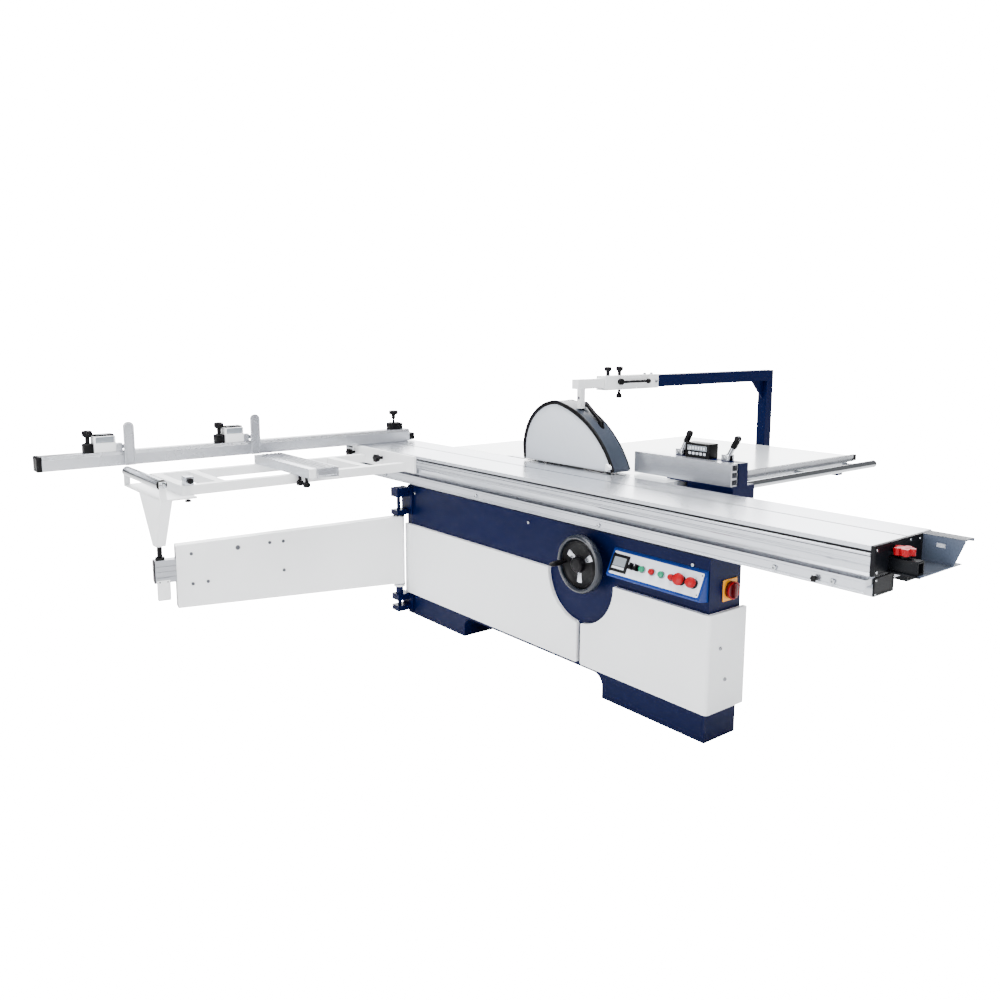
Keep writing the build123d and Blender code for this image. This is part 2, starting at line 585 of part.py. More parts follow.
RAIL_THICK = 16.0
with BuildPart() as scale_rail:
    with BuildSketch(Plane.XZ.offset(-(cast_front + 60))):
        with Locations((CAST_X[1] + RAIL_THICK / 2, TABLE_TOP - 17)):
            Rectangle(RAIL_THICK, 34)
            with Locations((RAIL_THICK / 2 - 2, -6)):
                Rectangle(4, 8, mode=Mode.SUBTRACT)
    extrude(amount=-(EXTENSION_BACK + 30 - cast_front - 60))
save(scale_rail, "scale_rail")

# ================================================================ overhead guard
arm_z = (TABLE_TOP + ARM_TOP - ARM_DEPTH, TABLE_TOP + ARM_TOP)
arm_x = (ARM_X - POST / 2, ARM_X + POST / 2)
post_y = (back_beam_y[1], back_beam_y[1] + POST)
WALL = 4.0
SLEEVE_Y = (146.0, 518.0)
with BuildPart() as guard_post:
    block(arm_x, post_y, (beam_z[0] - 25, arm_z[1]))
    block(arm_x, (SLEEVE_Y[0] + 184, post_y[0]), arm_z)
    block((arm_x[0] + WALL, arm_x[1] - WALL), (SLEEVE_Y[0] + 180, post_y[0] - 100),
          (arm_z[0] + WALL, arm_z[1] - WALL), mode=Mode.SUBTRACT)
    block((arm_x[0] + WALL, arm_x[1] - WALL), (post_y[0] + WALL, post_y[1] - WALL),
          (beam_z[0] - 26, arm_z[0] - 10), mode=Mode.SUBTRACT)
    with BuildSketch(Plane.YZ.offset(ARM_X - 4)):
        with BuildLine():
            Polyline((post_y[0], arm_z[0] - 105), (post_y[0], arm_z[0]),
                     (post_y[0] - 105, arm_z[0]), close=True)
        make_face()
    extrude(amount=8)
save(guard_post, "guard_post")

with BuildPart() as guard_sleeve:
    block((arm_x[0] - WALL, arm_x[1] + WALL), SLEEVE_Y, (arm_z[0] - WALL, arm_z[1] + WALL))
    block(arm_x, (SLEEVE_Y[0] - 1, SLEEVE_Y[1] + 1), arm_z, mode=Mode.SUBTRACT)
    # two liners that carry the guard's tube
    tube_half = 22.0
    tube_z = sum(arm_z) / 2
    for y in (SLEEVE_Y[0], SLEEVE_Y[0] + 150):
        block(arm_x, (y, y + 20), arm_z)
    block((ARM_X - tube_half - FREE, ARM_X + tube_half + FREE), (SLEEVE_Y[0] - 1, SLEEVE_Y[0] + 171),
          (tube_z - tube_half - FREE, tube_z + tube_half + FREE), mode=Mode.SUBTRACT)
save(guard_sleeve, "guard_sleeve")

HANGER_Y = (0.0, 28.0)
HANGER_X = (ARM_X - 13.0, ARM_X + 13.0)
with BuildPart() as guard_tube:
    block((ARM_X - tube_half, ARM_X + tube_half), (-25, 640),
          (tube_z - tube_half, tube_z + tube_half))
    block((ARM_X - tube_half + 3, ARM_X + tube_half - 3), (-22, 641),
          (tube_z - tube_half + 3, tube_z + tube_half - 3), mode=Mode.SUBTRACT)
    block((HANGER_X[0] - FREE, HANGER_X[1] + FREE), (HANGER_Y[0] - FREE, HANGER_Y[1] + FREE),
          (tube_z - tube_half - 1, tube_z + tube_half + 1), mode=Mode.SUBTRACT)
save(guard_tube, "guard_tube")

hood_bottom = TABLE_TOP + HOOD_GAP
hood_top = TABLE_TOP + HOOD_HEIGHT
with BuildPart() as guard_hanger:
    block(HANGER_X, HANGER_Y, (hood_top - 30, tube_z + tube_half - 4))
save(guard_hanger, "guard_hanger")


def hood_points(inset):
    """Start, shoulder, crown, apex, back, tail and end of the hood's outline, inset from it."""
    low = hood_bottom - (1 if inset else 0)
    far = 345 - 2 * inset
    return ((-275 + inset, low), (-275 + inset, hood_bottom + 70),
            (-205 + 0.8 * inset, hood_top - 72 - 0.7 * inset), (-40, hood_top - inset),
            (172 - 0.6 * inset, hood_top - 84 - 0.8 * inset), (far, hood_bottom + 12), (far, low))


with BuildPart() as guard_hood:
    for inset, mode in ((0, Mode.ADD), (3, Mode.SUBTRACT)):
        with BuildSketch(Plane.XZ.offset(-HOOD_Y[0] - inset)):
            with BuildLine():
                start, shoulder, crown, apex, back, tail, end = hood_points(inset)
                Line(start, shoulder)
                ThreePointArc(shoulder, crown, apex)
                ThreePointArc(apex, back, tail)
                Line(tail, end)
                Line(end, start)
            make_face()
        extrude(amount=-(HOOD_Y[1] - HOOD_Y[0] - 2 * inset), mode=mode)
    block((HANGER_X[0], HANGER_X[1]), HANGER_Y, (hood_top - 30, hood_top + 1), mode=Mode.SUBTRACT)
    # handle on the sloping back of the hood
    with BuildSketch(Plane.XZ.offset(-30)):
        with BuildLine():
            Polyline((58, hood_top - 40), (72, hood_top - 2), (100, hood_top - 2),
                     (206, hood_top - 86), (216, hood_top - 140), close=True)
        make_face()
        with BuildLine():
            Polyline((88, hood_top - 30), (90, hood_top - 18), (100, hood_top - 18),
                     (186, hood_top - 86), (188, hood_top - 104), close=True)
        make_face(mode=Mode.SUBTRACT)
    extrude(amount=-14)
save(guard_hood, "guard_hood")

LEVER_Y, LEVER_Z = 240.0, tube_z + 5
with BuildPart() as guard_lever:
    lever_x = arm_x[1] + WALL + FREE
    rod("X", (LEVER_Y, LEVER_Z), (lever_x, lever_x + 16), 15)
    rod("Y", (lever_x + 9, LEVER_Z - 2), (LEVER_Y, LEVER_Y + 190), 6)
    with Locations((lever_x + 12, LEVER_Y + 192, LEVER_Z - 2)):
        Sphere(12)
save(guard_lever, "guard_lever")

# ================================================================ saw unit
PLATE_X = {"left": (-248.0, -234.0), "right": (354.0, 368.0)}
BACK_Y = (128.0, 140.0)
ROD_X = (-140.0, 275.0)
ROD_Y = 100.0
with BuildPart() as tilt_frame:
    for x in PLATE_X.values():
        block(x, (-22, 145), (520, 744))
    block((PLATE_X["left"][1], PLATE_X["right"][0]), BACK_Y, (520, 744))
    block((-45, 240), (BACK_Y[0] - 1, BACK_Y[1] + 1), (519, 715), mode=Mode.SUBTRACT)
    for angle in (-20.0, 2.0):
        y = -ARC_RADIUS * sin(radians(angle))
        z = TABLE_TOP - ARC_RADIUS * cos(radians(angle))
        rod("X", (y, z), (PLATE_X["left"][0] - 18, PLATE_X["left"][0]), PIN_RADIUS)
        rod("X", (y, z), (PLATE_X["right"][1], PLATE_X["right"][1] + 18), PIN_RADIUS)
    for x in ROD_X:
        for z in ((530.0, 545.0), (720.0, 735.0)):
            block((x - 17, x + 17), (ROD_Y - 16, BACK_Y[0]), z)
        rod("Z", (x, ROD_Y), (545, 720), 10)
save(tilt_frame, "tilt_frame")

with BuildPart() as arbor_block:
    block((-215, 315), (60, 82), (560, 700))
    block((-34, 34), (60, 82), (700, spindle_z))
    block((SCORING_X - 26, SCORING_X + 25), (60, 82), (700, scoring_z))
    for x in ROD_X:
        block((x - 20, x + 20), (82, 122), (628, 700))
    rod("Y", (0, spindle_z), (44, 110), 32)
    rod("Y", (SCORING_X, scoring_z), (30, 82), 22)
    for x in ROD_X:
        rod("Z", (x, ROD_Y), (627, 701), 10 + RUNNING, mode=Mode.SUBTRACT)
    rod("Y", (0, spindle_z), (43, 111), SPINDLE_RADIUS + RUNNING, mode=Mode.SUBTRACT)
    rod("Y", (SCORING_X, scoring_z), (29, 83), 10 + RUNNING, mode=Mode.SUBTRACT)
    rod("Y", (MOTOR_X, motor_z), (59, 83), 14, mode=Mode.SUBTRACT)
    # riving knife behind the blade, on its bracket
    with BuildSketch(Plane.XZ.offset(1.3)):
        with Locations((0, spindle_z)):
            Circle(BLADE_RADIUS + 62)
            Circle(BLADE_RADIUS + 6, mode=Mode.SUBTRACT)
        with Locations((120, spindle_z)):
            Rectangle(560, 600, mode=Mode.SUBTRACT)
        with Locations((-250, spindle_z - 260)):
            Rectangle(300, 300, mode=Mode.SUBTRACT)
    extrude(amount=-2.6)
    block((-212, -178), (-1.3, 60), (690, 702))
save(arbor_block, "arbor_block")

with BuildPart() as motors:
    rod("Y", (MOTOR_X, motor_z), (82, 300), MOTOR_RADIUS)
    rod("Y", (MOTOR_X, motor_z), (300, 322), MOTOR_RADIUS - 10)
    rod("Y", (200, 590), (82, 230), 36)
save(motors, "motors")

PULLEY_Y = (18.0, 42.0)
with BuildPart() as motor_pulley:
    rod("Y", (MOTOR_X, motor_z), PULLEY_Y, MOTOR_PULLEY_RADIUS)
    rod("Y", (MOTOR_X, motor_z), (14, 81.5), 12)
save(motor_pulley, "motor_pulley")

half_blade = BLADE_THICKNESS / 2
with BuildPart() as main_arbor:
    rod("Y", (0, spindle_z), (-24, 108), SPINDLE_RADIUS)
    rod("Y", (0, spindle_z), PULLEY_Y, PULLEY_RADIUS)
    rod("Y", (0, spindle_z), (half_blade, 10), 30)
    rod("Y", (0, spindle_z), (-10, -half_blade), 30)
    with BuildSketch(Plane.XZ.offset(10)):
        with Locations((0, spindle_z)):
            RegularPolygon(18, 6)
    extrude(amount=12)
save(main_arbor, "main_arbor")


def blade_outline(centre, radius, bore, teeth, gullet):
    """A circular blade's outline, with round gullets between its teeth."""
    with Locations(centre):
        Circle(radius)
        Circle(bore, mode=Mode.SUBTRACT)
        with PolarLocations(radius, teeth):
            Circle(gullet, mode=Mode.SUBTRACT)


with BuildPart() as main_blade:
    with BuildSketch(Plane.XZ.offset(half_blade)):
        blade_outline((0, spindle_z), BLADE_RADIUS, SPINDLE_RADIUS + RUNNING, 48, 5)
    extrude(amount=-BLADE_THICKNESS)
save(main_blade, "main_blade")

with BuildPart() as scoring_arbor:
    rod("Y", (SCORING_X, scoring_z), (-12, 80), 10)
    rod("Y", (SCORING_X, scoring_z), (half_blade, 12), 20)
    rod("Y", (SCORING_X, scoring_z), (-8, -half_blade), 20)
    with BuildSketch(Plane.XZ.offset(half_blade)):
        blade_outline((SCORING_X, scoring_z), SCORING_RADIUS, 9, 24, 3)
    extrude(amount=-BLADE_THICKNESS)
save(scoring_arbor, "scoring_arbor")

span = hypot(MOTOR_X, MOTOR_DROP)
lean = atan2(-MOTOR_DROP, MOTOR_X)
belt_plane = Plane(origin=(0, PULLEY_Y[0] + 2, spindle_z), x_dir=(cos(lean), 0, sin(lean)),
                   z_dir=(0, 1, 0))


def belt_points(thickness):
    """Where the belt meets and rounds the two pulleys, thickness outside them."""
    near, far = PULLEY_RADIUS + thickness, MOTOR_PULLEY_RADIUS + thickness
    lead = (near - far) / span
    rise = (1 - lead ** 2) ** 0.5
    return ((near * lead, near * rise), (span + far * lead, far * rise), (span + far, 0),
            (span + far * lead, -far * rise), (near * lead, -near * rise), (-near, 0))


with BuildPart() as drive_belt:
    for thickness, mode in ((5, Mode.ADD), (FREE, Mode.SUBTRACT)):
        with BuildSketch(belt_plane):
            with BuildLine():
                near_top, far_top, far_end, far_low, near_low, near_end = belt_points(thickness)
                Line(near_top, far_top)
                ThreePointArc(far_top, far_end, far_low)
                Line(far_low, near_low)
                ThreePointArc(near_low, near_end, near_top)
            make_face()
        extrude(amount=PULLEY_Y[1] - PULLEY_Y[0] - 4, mode=mode)
save(drive_belt, "drive_belt")

# ================================================================ crosscut outrigger
PLATE_UNDER = 8.0
ROLLER_X = (-1270.0, -765.0)
with BuildPart() as crosscut_frame:
    beam_span = (frame_under, frame_top)
    for low in (FRAME_X[0], FRAME_X[1] - BEAM):
        block((low, low + BEAM), (FRAME_OUT, slide_front - 14), beam_span)
        block((low + 3, low + BEAM - 3), (FRAME_OUT + 3, slide_front - 17),
              (frame_under + 3, frame_top - 3), mode=Mode.SUBTRACT)
    for y in (FRAME_OUT, -1412.0, -640.0):
        block((FRAME_X[0] + BEAM, FRAME_X[1] - BEAM), (y, y + BEAM), beam_span)
    # plate that clamps to the sliding table's front
    with BuildSketch(Plane.XZ.offset(-slide_front)):
        with BuildLine():
            Polyline((FRAME_X[0] - 33, slide_bottom + 6), (FRAME_X[0] - 88, TABLE_TOP - 36),
                     (FRAME_X[0] - 88, TABLE_TOP - 3), (FRAME_X[1] + 85, TABLE_TOP - 3),
                     (FRAME_X[1] + 85, slide_bottom + 6), close=True)
        make_face()
    extrude(amount=14)
    # end plate with the roller's bearing ears
    block((ROLLER_X[0] - 14, ROLLER_X[1] + 14), (OUTER_ROLLER_Y - 14, FRAME_OUT + 50),
          (frame_under - PLATE_UNDER, frame_under))
    for low in (ROLLER_X[0] - 14, ROLLER_X[1] + 4):
        block((low, low + 10), (OUTER_ROLLER_Y - 14, OUTER_ROLLER_Y + 14),
              (frame_under, TABLE_TOP - OUTER_ROLLER_RADIUS + 14))
        rod("X", (OUTER_ROLLER_Y, TABLE_TOP - 1 - OUTER_ROLLER_RADIUS), (low - 1, low + 11),
            8 + RUNNING, mode=Mode.SUBTRACT)
save(crosscut_frame, "crosscut_frame")

with BuildPart() as outrigger_roller:
    roller_z = TABLE_TOP - 1 - OUTER_ROLLER_RADIUS
    rod("X", (OUTER_ROLLER_Y, roller_z), ROLLER_X, OUTER_ROLLER_RADIUS)
    rod("X", (OUTER_ROLLER_Y, roller_z), (ROLLER_X[0] - 16, ROLLER_X[1] + 16), 8)
save(outrigger_roller, "outrigger_roller")

PROFILE_Y = (-1039.0, -1000.0, -885.0)
with BuildPart() as support_profile:
    block((CROSS_X, -640), PROFILE_Y[:2], (frame_top, TABLE_TOP))
    with BuildSketch(Plane.YZ.offset(CROSS_X)):
        with Locations(((PROFILE_Y[1] + PROFILE_Y[2]) / 2, (frame_top + TABLE_TOP) / 2)):
            Rectangle(PROFILE_Y[2] - PROFILE_Y[1] - 0.6, TABLE_TOP - frame_top)
            Rectangle(PROFILE_Y[2] - PROFILE_Y[1] - 7, TABLE_TOP - frame_top - 10,
                      mode=Mode.SUBTRACT)
            with GridLocations(26, 0, 4, 1):
                with Locations((0, (TABLE_TOP - frame_top) / 2)):
                    Rectangle(8, 6, mode=Mode.SUBTRACT)
    extrude(amount=-CROSS_X - 633)
save(support_profile, "support_profile")

leg_top, leg_low = frame_under - PLATE_UNDER, 508.0
leg_mid_x = HINGE_X - 252
with BuildPart() as outrigger_leg:
    with BuildSketch(Plane.XY.offset(leg_top)):
        with Locations((leg_mid_x, LEG_Y)):
            Rectangle(365, 54)
    with BuildSketch(Plane.XY.offset(leg_low)):
        with Locations((HINGE_X - 230, LEG_Y)):
            Rectangle(50, 46)
    loft()
    with BuildSketch(Plane.XY.offset(leg_top + 0.5)):
        with Locations((leg_mid_x, LEG_Y)):
            Rectangle(357, 46)
    with BuildSketch(Plane.XY.offset(leg_low + 8)):
        with Locations((HINGE_X - 230, LEG_Y)):
            Rectangle(44, 38)
    loft(mode=Mode.SUBTRACT)
save(outrigger_leg, "outrigger_leg")

cross_z = (TABLE_TOP + CROSS_Z[0], TABLE_TOP + CROSS_Z[1])
cross_top = cross_z[1] + 16
cross_mid_x = CROSS_X - CROSS_DEPTH / 2


def cross_outline():
    """Corner points of the crosscut fence's section, as (x, z)."""
    return ((CROSS_X, cross_z[0]), (CROSS_X, cross_z[1]), (CROSS_X - 8, cross_top),
            (CROSS_X - CROSS_DEPTH, cross_top), (CROSS_X - CROSS_DEPTH, cross_z[0]))


HOLLOW = (CROSS_DEPTH - 12, 42.0)
hollow_z = cross_z[0] + 6 + HOLLOW[1] / 2
with BuildPart() as crosscut_fence:
    with BuildSketch(Plane.XZ.offset(-CROSS_Y[0])):
        with BuildLine():
            Polyline(*cross_outline(), close=True)
        make_face()
        with Locations((cross_mid_x, hollow_z)):
            Rectangle(*HOLLOW, mode=Mode.SUBTRACT)
        with Locations((cross_mid_x, cross_top - 3)):
            Rectangle(9, 7, mode=Mode.SUBTRACT)
        with Locations((cross_mid_x, cross_top - 9)):
            Rectangle(17, 7, mode=Mode.SUBTRACT)
    extrude(amount=-(CROSS_Y[1] - CROSS_Y[0]))
    # foot that carries the fence on the sliding table
    block((CROSS_X - CROSS_DEPTH + 8, CROSS_X - 8), (slide_front + 10, slide_back - 60),
          (TABLE_TOP, cross_z[0]))
save(crosscut_fence, "crosscut_fence")

with BuildPart() as fence_extension:
    with BuildSketch(Plane.XZ.offset(-EXTENSION_Y)):
        with BuildLine():
            Polyline(*cross_outline(), close=True)
        make_face()
        with Locations((cross_mid_x, hollow_z)):
            Rectangle(HOLLOW[0] - 14, HOLLOW[1] - 14, mode=Mode.SUBTRACT)
        with Locations((cross_mid_x, cross_top - 3)):
            Rectangle(9, 7, mode=Mode.SUBTRACT)
        with Locations((cross_mid_x, cross_top - 9)):
            Rectangle(17, 7, mode=Mode.SUBTRACT)
    extrude(amount=-(CROSS_Y[0] - FREE - EXTENSION_Y))
    with BuildSketch(Plane.XZ.offset(-EXTENSION_Y)):
        with Locations((cross_mid_x, hollow_z)):
            Rectangle(HOLLOW[0] - 2 * FREE, HOLLOW[1] - 2 * FREE)
            Rectangle(HOLLOW[0] - 14, HOLLOW[1] - 14, mode=Mode.SUBTRACT)
    extrude(amount=-(-620 - EXTENSION_Y))
save(fence_extension, "fence_extension")

FLAP = (46.0, 12.0)
FLAP_TOP = TABLE_TOP + 213
flap_pivot = (CROSS_X - 26.0, cross_top + 22)
for letter, y in STOP_Y.items():
    with BuildPart() as stop:
        low = cross_top + FREE
        block((cross_mid_x - 26, cross_mid_x + 26), (y - 197, y - 155), (low, cross_top + 43))
        rod("Z", (cross_mid_x, y - 176), (cross_top + 43, cross_top + 84), 5)
        rod("Z", (cross_mid_x, y - 176), (cross_top + 84, cross_top + 106), 22)
        block((cross_mid_x - 33, cross_mid_x + 33), (y - 155, y - 56), (low, cross_top + 77))
        block((flap_pivot[0] - 18, flap_pivot[0] + 14), (y - 56, y - 24), (low, cross_top + 40))
        rod("Y", flap_pivot, (y - 25, y + 20), 5)
    save(stop, f"stop_{letter}")
    with BuildPart() as flap:
        block((CROSS_X + 1, CROSS_X + 1 + FLAP[1]), (y - FLAP[0] / 2, y + FLAP[0] / 2),
              (TABLE_TOP + 6, FLAP_TOP - FLAP[0] / 2))
        with BuildSketch(Plane.YZ.offset(CROSS_X + 1)):
            with Locations((y, FLAP_TOP - FLAP[0] / 2)):
                Circle(FLAP[0] / 2)
        extrude(amount=FLAP[1])
        block((flap_pivot[0], CROSS_X + 2), (y - FLAP[0] / 2, y + FLAP[0] / 2),
              (flap_pivot[1] - 10, flap_pivot[1] + 10))
        rod("Y", flap_pivot, (y - FLAP[0] / 2, y + FLAP[0] / 2), 10)
        rod("Y", flap_pivot, (y - FLAP[0] / 2 - 1, y + FLAP[0] / 2 + 1), 5 + RUNNING,
            mode=Mode.SUBTRACT)
    save(flap, f"stop_{letter}_flap")

with BuildPart() as clamp_knobs:
    # on the frame's clamping plate
    for x in (FRAME_X[0] - 66, FRAME_X[1] - 229):
        rod("Y", (x, TABLE_TOP - 42), (slide_front - 40, slide_front - 14), 8)
        rod("Y", (x, TABLE_TOP - 42), (slide_front - 62, slide_front - 40), 20)
    # below the grooved support
    for x in (FRAME_X[1] + 20, FRAME_X[1] + 90):
        rod("Z", (x, PROFILE_Y[1] - 20), (frame_top - 36, frame_top), 6)
        rod("Z", (x, PROFILE_Y[1] - 20), (frame_top - 50, frame_top - 36), 16)
    # at the crosscut fence's inner end
    block((cross_mid_x - 30, cross_mid_x + 30), (CROSS_Y[1] - 115, CROSS_Y[1] - 42),
          (cross_top, cross_top + 38))
    rod("Z", (cross_mid_x, CROSS_Y[1] - 85), (cross_top + 38, cross_top + 88), 6)
    rod("Z", (cross_mid_x, CROSS_Y[1] - 85), (cross_top + 88, cross_top + 110), 25)
    block((cross_mid_x - 10, CROSS_X), (CROSS_Y[1], CROSS_Y[1] + 34),
          (cross_z[0] + 4, cross_z[1] - 8))
save(clamp_knobs, "clamp_knobs")

# ================================================================ swing arm
arm_end = Vector(HINGE_X - 230, LEG_Y, 0)
arm_way = (arm_end - Vector(HINGE_X, HINGE_Y, 0)).normalized()
arm_plane = Plane(origin=(HINGE_X, HINGE_Y, 0), x_dir=arm_way, z_dir=arm_way.cross(Vector(0, 0, 1)))
arm_middle_z = (INNER_Z[0] + INNER_Z[1]) / 2
ARM_WALL = 5.0
with BuildPart() as swing_arm:
    with BuildSketch(arm_plane.offset(-SWING_THICKNESS / 2)):
        with BuildLine():
            Polyline((0, SWING_Z[0]), (0, SWING_Z[1]), (SWING_LENGTH, SWING_Z[1] - 34),
                     (SWING_LENGTH, SWING_Z[0] + 24), close=True)
        make_face()
    extrude(amount=SWING_THICKNESS)
    barrel_z = (SWING_Z[0] - 20, SWING_Z[1] + 5)
    rod("Z", (HINGE_X, HINGE_Y), barrel_z, SWING_THICKNESS / 2)
    inside = SWING_THICKNESS - 2 * ARM_WALL
    with BuildSketch(arm_plane.offset(-inside / 2)):
        with BuildLine():
            Polyline((45, SWING_Z[0] + 7), (45, SWING_Z[1] - 7),
                     (SWING_LENGTH + 1, SWING_Z[1] - 40), (SWING_LENGTH + 1, SWING_Z[0] + 30),
                     close=True)
        make_face()
    extrude(amount=inside, mode=Mode.SUBTRACT)
    rod("Z", (HINGE_X, HINGE_Y), (barrel_z[0] - 1, barrel_z[1] + 1), HINGE_PIN_RADIUS + RUNNING,
        mode=Mode.SUBTRACT)
    # rollers on bolts that carry the inner beam, above and below it
    roller_places = [(along, z) for along in (SWING_LENGTH - 60, SWING_LENGTH - 330)
                     for z in (INNER_Z[0] - 18 - FREE, INNER_Z[1] + 18 + FREE)]
    with BuildSketch(arm_plane.offset(-SWING_THICKNESS / 2)):
        with Locations(roller_places):
            Circle(6)
    extrude(amount=SWING_THICKNESS)
    with BuildSketch(arm_plane.offset(-inside / 2 + 3)):
        with Locations(roller_places):
            Circle(18)
            Circle(6 + RUNNING, mode=Mode.SUBTRACT)
    extrude(amount=inside - 6)
save(swing_arm, "swing_arm")

with BuildPart() as inner_beam:
    inner_reach = (arm_end - Vector(HINGE_X, HINGE_Y, 0)).length + 26
    with BuildSketch(arm_plane.offset(-INNER_THICKNESS / 2 + 1)):
        with Locations(((60 + inner_reach) / 2, arm_middle_z)):
            Rectangle(inner_reach - 60, INNER_Z[1] - INNER_Z[0])
            with Locations((0, 26), (0, 0), (0, -26)):
                Rectangle(inner_reach - 60 + 2, 5, mode=Mode.SUBTRACT)
    extrude(amount=INNER_THICKNESS - 2)
    with BuildSketch(arm_plane.offset(-INNER_THICKNESS / 2 + 5)):
        with Locations(((60 + inner_reach) / 2, arm_middle_z)):
            Rectangle(inner_reach - 60, INNER_Z[1] - INNER_Z[0])
    extrude(amount=INNER_THICKNESS - 10)
    # hanger tab below the tip, and the height screw that meets the leg
    with BuildSketch(arm_plane.offset(-INNER_THICKNESS / 2 - 3)):
        with Locations((inner_reach - 36, INNER_Z[0] - 30)):
            Rectangle(56, 110)
    extrude(amount=4)
    rod("Z", (arm_end.X, arm_end.Y), (INNER_Z[1] - 1, INNER_Z[1] + 10), 20)
    rod("Z", (arm_end.X, arm_end.Y), (INNER_Z[1] + 9, leg_low - 4), 11)
save(inner_beam, "inner_beam")

with BuildPart() as arm_hinge:
    pin = (HINGE_X, HINGE_Y)
    plate_x = (HINGE_X - 40, HINGE_X + 60)
    for z in ((barrel_z[1] + 4, 694.0), (21.0, COVER_Z[0] - 4)):
        block(plate_x, (cabinet_front - 10, cabinet_front), z)
    for z in ((barrel_z[1] + 4, barrel_z[1] + 30), (646.0, 694.0), (21.0, 50.0), (80.0, 113.0)):
        block((HINGE_X - 32, HINGE_X + 32), (HINGE_Y - 28, cabinet_front - 10), z)
    rod("Z", pin, (50, 646), HINGE_PIN_RADIUS)
    rod("Z", pin, (112, barrel_z[0] - 1), 20)
save(arm_hinge, "arm_hinge")

# ================================================================ rip fence
fence_z = (TABLE_TOP + 7 + FREE, TABLE_TOP + 7 + FREE + FENCE_HEIGHT)
fence_y = (FENCE_Y, FENCE_Y + FENCE_THICKNESS)
with BuildPart() as rip_fence:
    with BuildSketch(Plane.YZ.offset(FENCE_X[0])):
        with Locations((sum(fence_y) / 2, sum(fence_z) / 2)):
            Rectangle(FENCE_THICKNESS, FENCE_HEIGHT)
            with GridLocations(0, 30, 1, 3):
                Rectangle(FENCE_THICKNESS - 14, 22, mode=Mode.SUBTRACT)
            with Locations((FENCE_THICKNESS / 2 - 3, 15), (FENCE_THICKNESS / 2 - 3, -15)):
                Rectangle(7, 9, mode=Mode.SUBTRACT)
    extrude(amount=FENCE_X[1] - FENCE_X[0])
save(rip_fence, "rip_fence")

HEAD_X = (560.0, 900.0)
HEAD_Y = (fence_y[1] + FREE, fence_y[1] + 110)
with BuildPart() as rip_fence_head:
    block(HEAD_X, (fence_y[0], HEAD_Y[1]), (TABLE_TOP + 2, TABLE_TOP + 7))
    block(HEAD_X, (HEAD_Y[0], HEAD_Y[0] + 60), (TABLE_TOP + 6, fence_z[1]))
    # sleeve on the guide bar, open towards the table for the bar's studs
    block((bar_x - 26, HEAD_X[1]), (fence_y[0] + 10, HEAD_Y[1]), (bar_z - 28, TABLE_TOP + 7))
    rod("Y", (bar_x, bar_z), (fence_y[0] + 9, HEAD_Y[1] + 1), BAR_RADIUS + RUNNING,
        mode=Mode.SUBTRACT)
    block((bar_x - 31, bar_x), (fence_y[0] + 9, HEAD_Y[1] + 1), (bar_z - 6, bar_z + 19),
          mode=Mode.SUBTRACT)
    # bearing cheeks of the two levers and the position counter
    for x in (575.0, 819.0):
        for side in (-1, 1):
            block((x - 17, x + 17), (HEAD_Y[0] + 30 + side * 14 - 5, HEAD_Y[0] + 30 + side * 14 + 5),
                  (fence_z[1], fence_z[1] + 24))
        rod("Y", (x, fence_z[1] + 13), (HEAD_Y[0] + 15, HEAD_Y[0] + 45), 4)
    block((622, 745), (HEAD_Y[0], HEAD_Y[0] + 58), (fence_z[1], fence_z[1] + 62))
save(rip_fence_head, "rip_fence_head")

for letter, x, reach in (("a", 575.0, 42.0), ("b", 819.0, 48.0)):
    with BuildPart() as lever:
        y, z = HEAD_Y[0] + 30, fence_z[1] + 13
        rod("Y", (x, z), (y - 8.5, y + 8.5), 11)
        with BuildSketch(Plane.XZ.offset(-(y - 6))):
            with BuildLine():
                Polyline((x - 8, z), (x + 10, z), (x + reach + 8, z + 82),
                         (x + reach - 10, z + 86), close=True)
            make_face()
        extrude(amount=-12)
        rod("Y", (x + reach - 1, z + 84), (y - 8, y + 8), 13)
        rod("Y", (x, z), (y - 9, y + 9), 4 + RUNNING, mode=Mode.SUBTRACT)
    save(lever, f"rip_lever_{letter}")
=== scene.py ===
"""Sliding-table panel saw: finishes, fittings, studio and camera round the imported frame."""

from __future__ import annotations

import logging
import math
from dataclasses import dataclass
from enum import Enum

import bmesh
import bpy
from mathutils import Matrix, Vector

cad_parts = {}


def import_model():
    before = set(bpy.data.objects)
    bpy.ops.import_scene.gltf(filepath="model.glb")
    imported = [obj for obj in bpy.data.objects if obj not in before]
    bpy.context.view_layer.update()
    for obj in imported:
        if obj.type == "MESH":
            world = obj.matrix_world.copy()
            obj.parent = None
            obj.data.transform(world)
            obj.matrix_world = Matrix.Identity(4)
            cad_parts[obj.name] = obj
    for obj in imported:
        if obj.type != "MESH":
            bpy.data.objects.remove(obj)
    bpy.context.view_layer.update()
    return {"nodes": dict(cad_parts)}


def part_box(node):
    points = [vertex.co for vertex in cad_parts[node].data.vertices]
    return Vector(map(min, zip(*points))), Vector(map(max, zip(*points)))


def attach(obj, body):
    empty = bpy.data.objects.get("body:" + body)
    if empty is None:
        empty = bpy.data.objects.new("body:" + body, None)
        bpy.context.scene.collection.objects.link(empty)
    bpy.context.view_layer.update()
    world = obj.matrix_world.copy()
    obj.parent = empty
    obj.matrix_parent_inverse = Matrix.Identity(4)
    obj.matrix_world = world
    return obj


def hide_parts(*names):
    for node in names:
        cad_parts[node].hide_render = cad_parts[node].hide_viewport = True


logging.basicConfig(level=logging.INFO, format="%(message)s")
log = logging.getLogger("panel_saw")

Point2 = tuple[float, float]
Point3 = tuple[float, float, float]

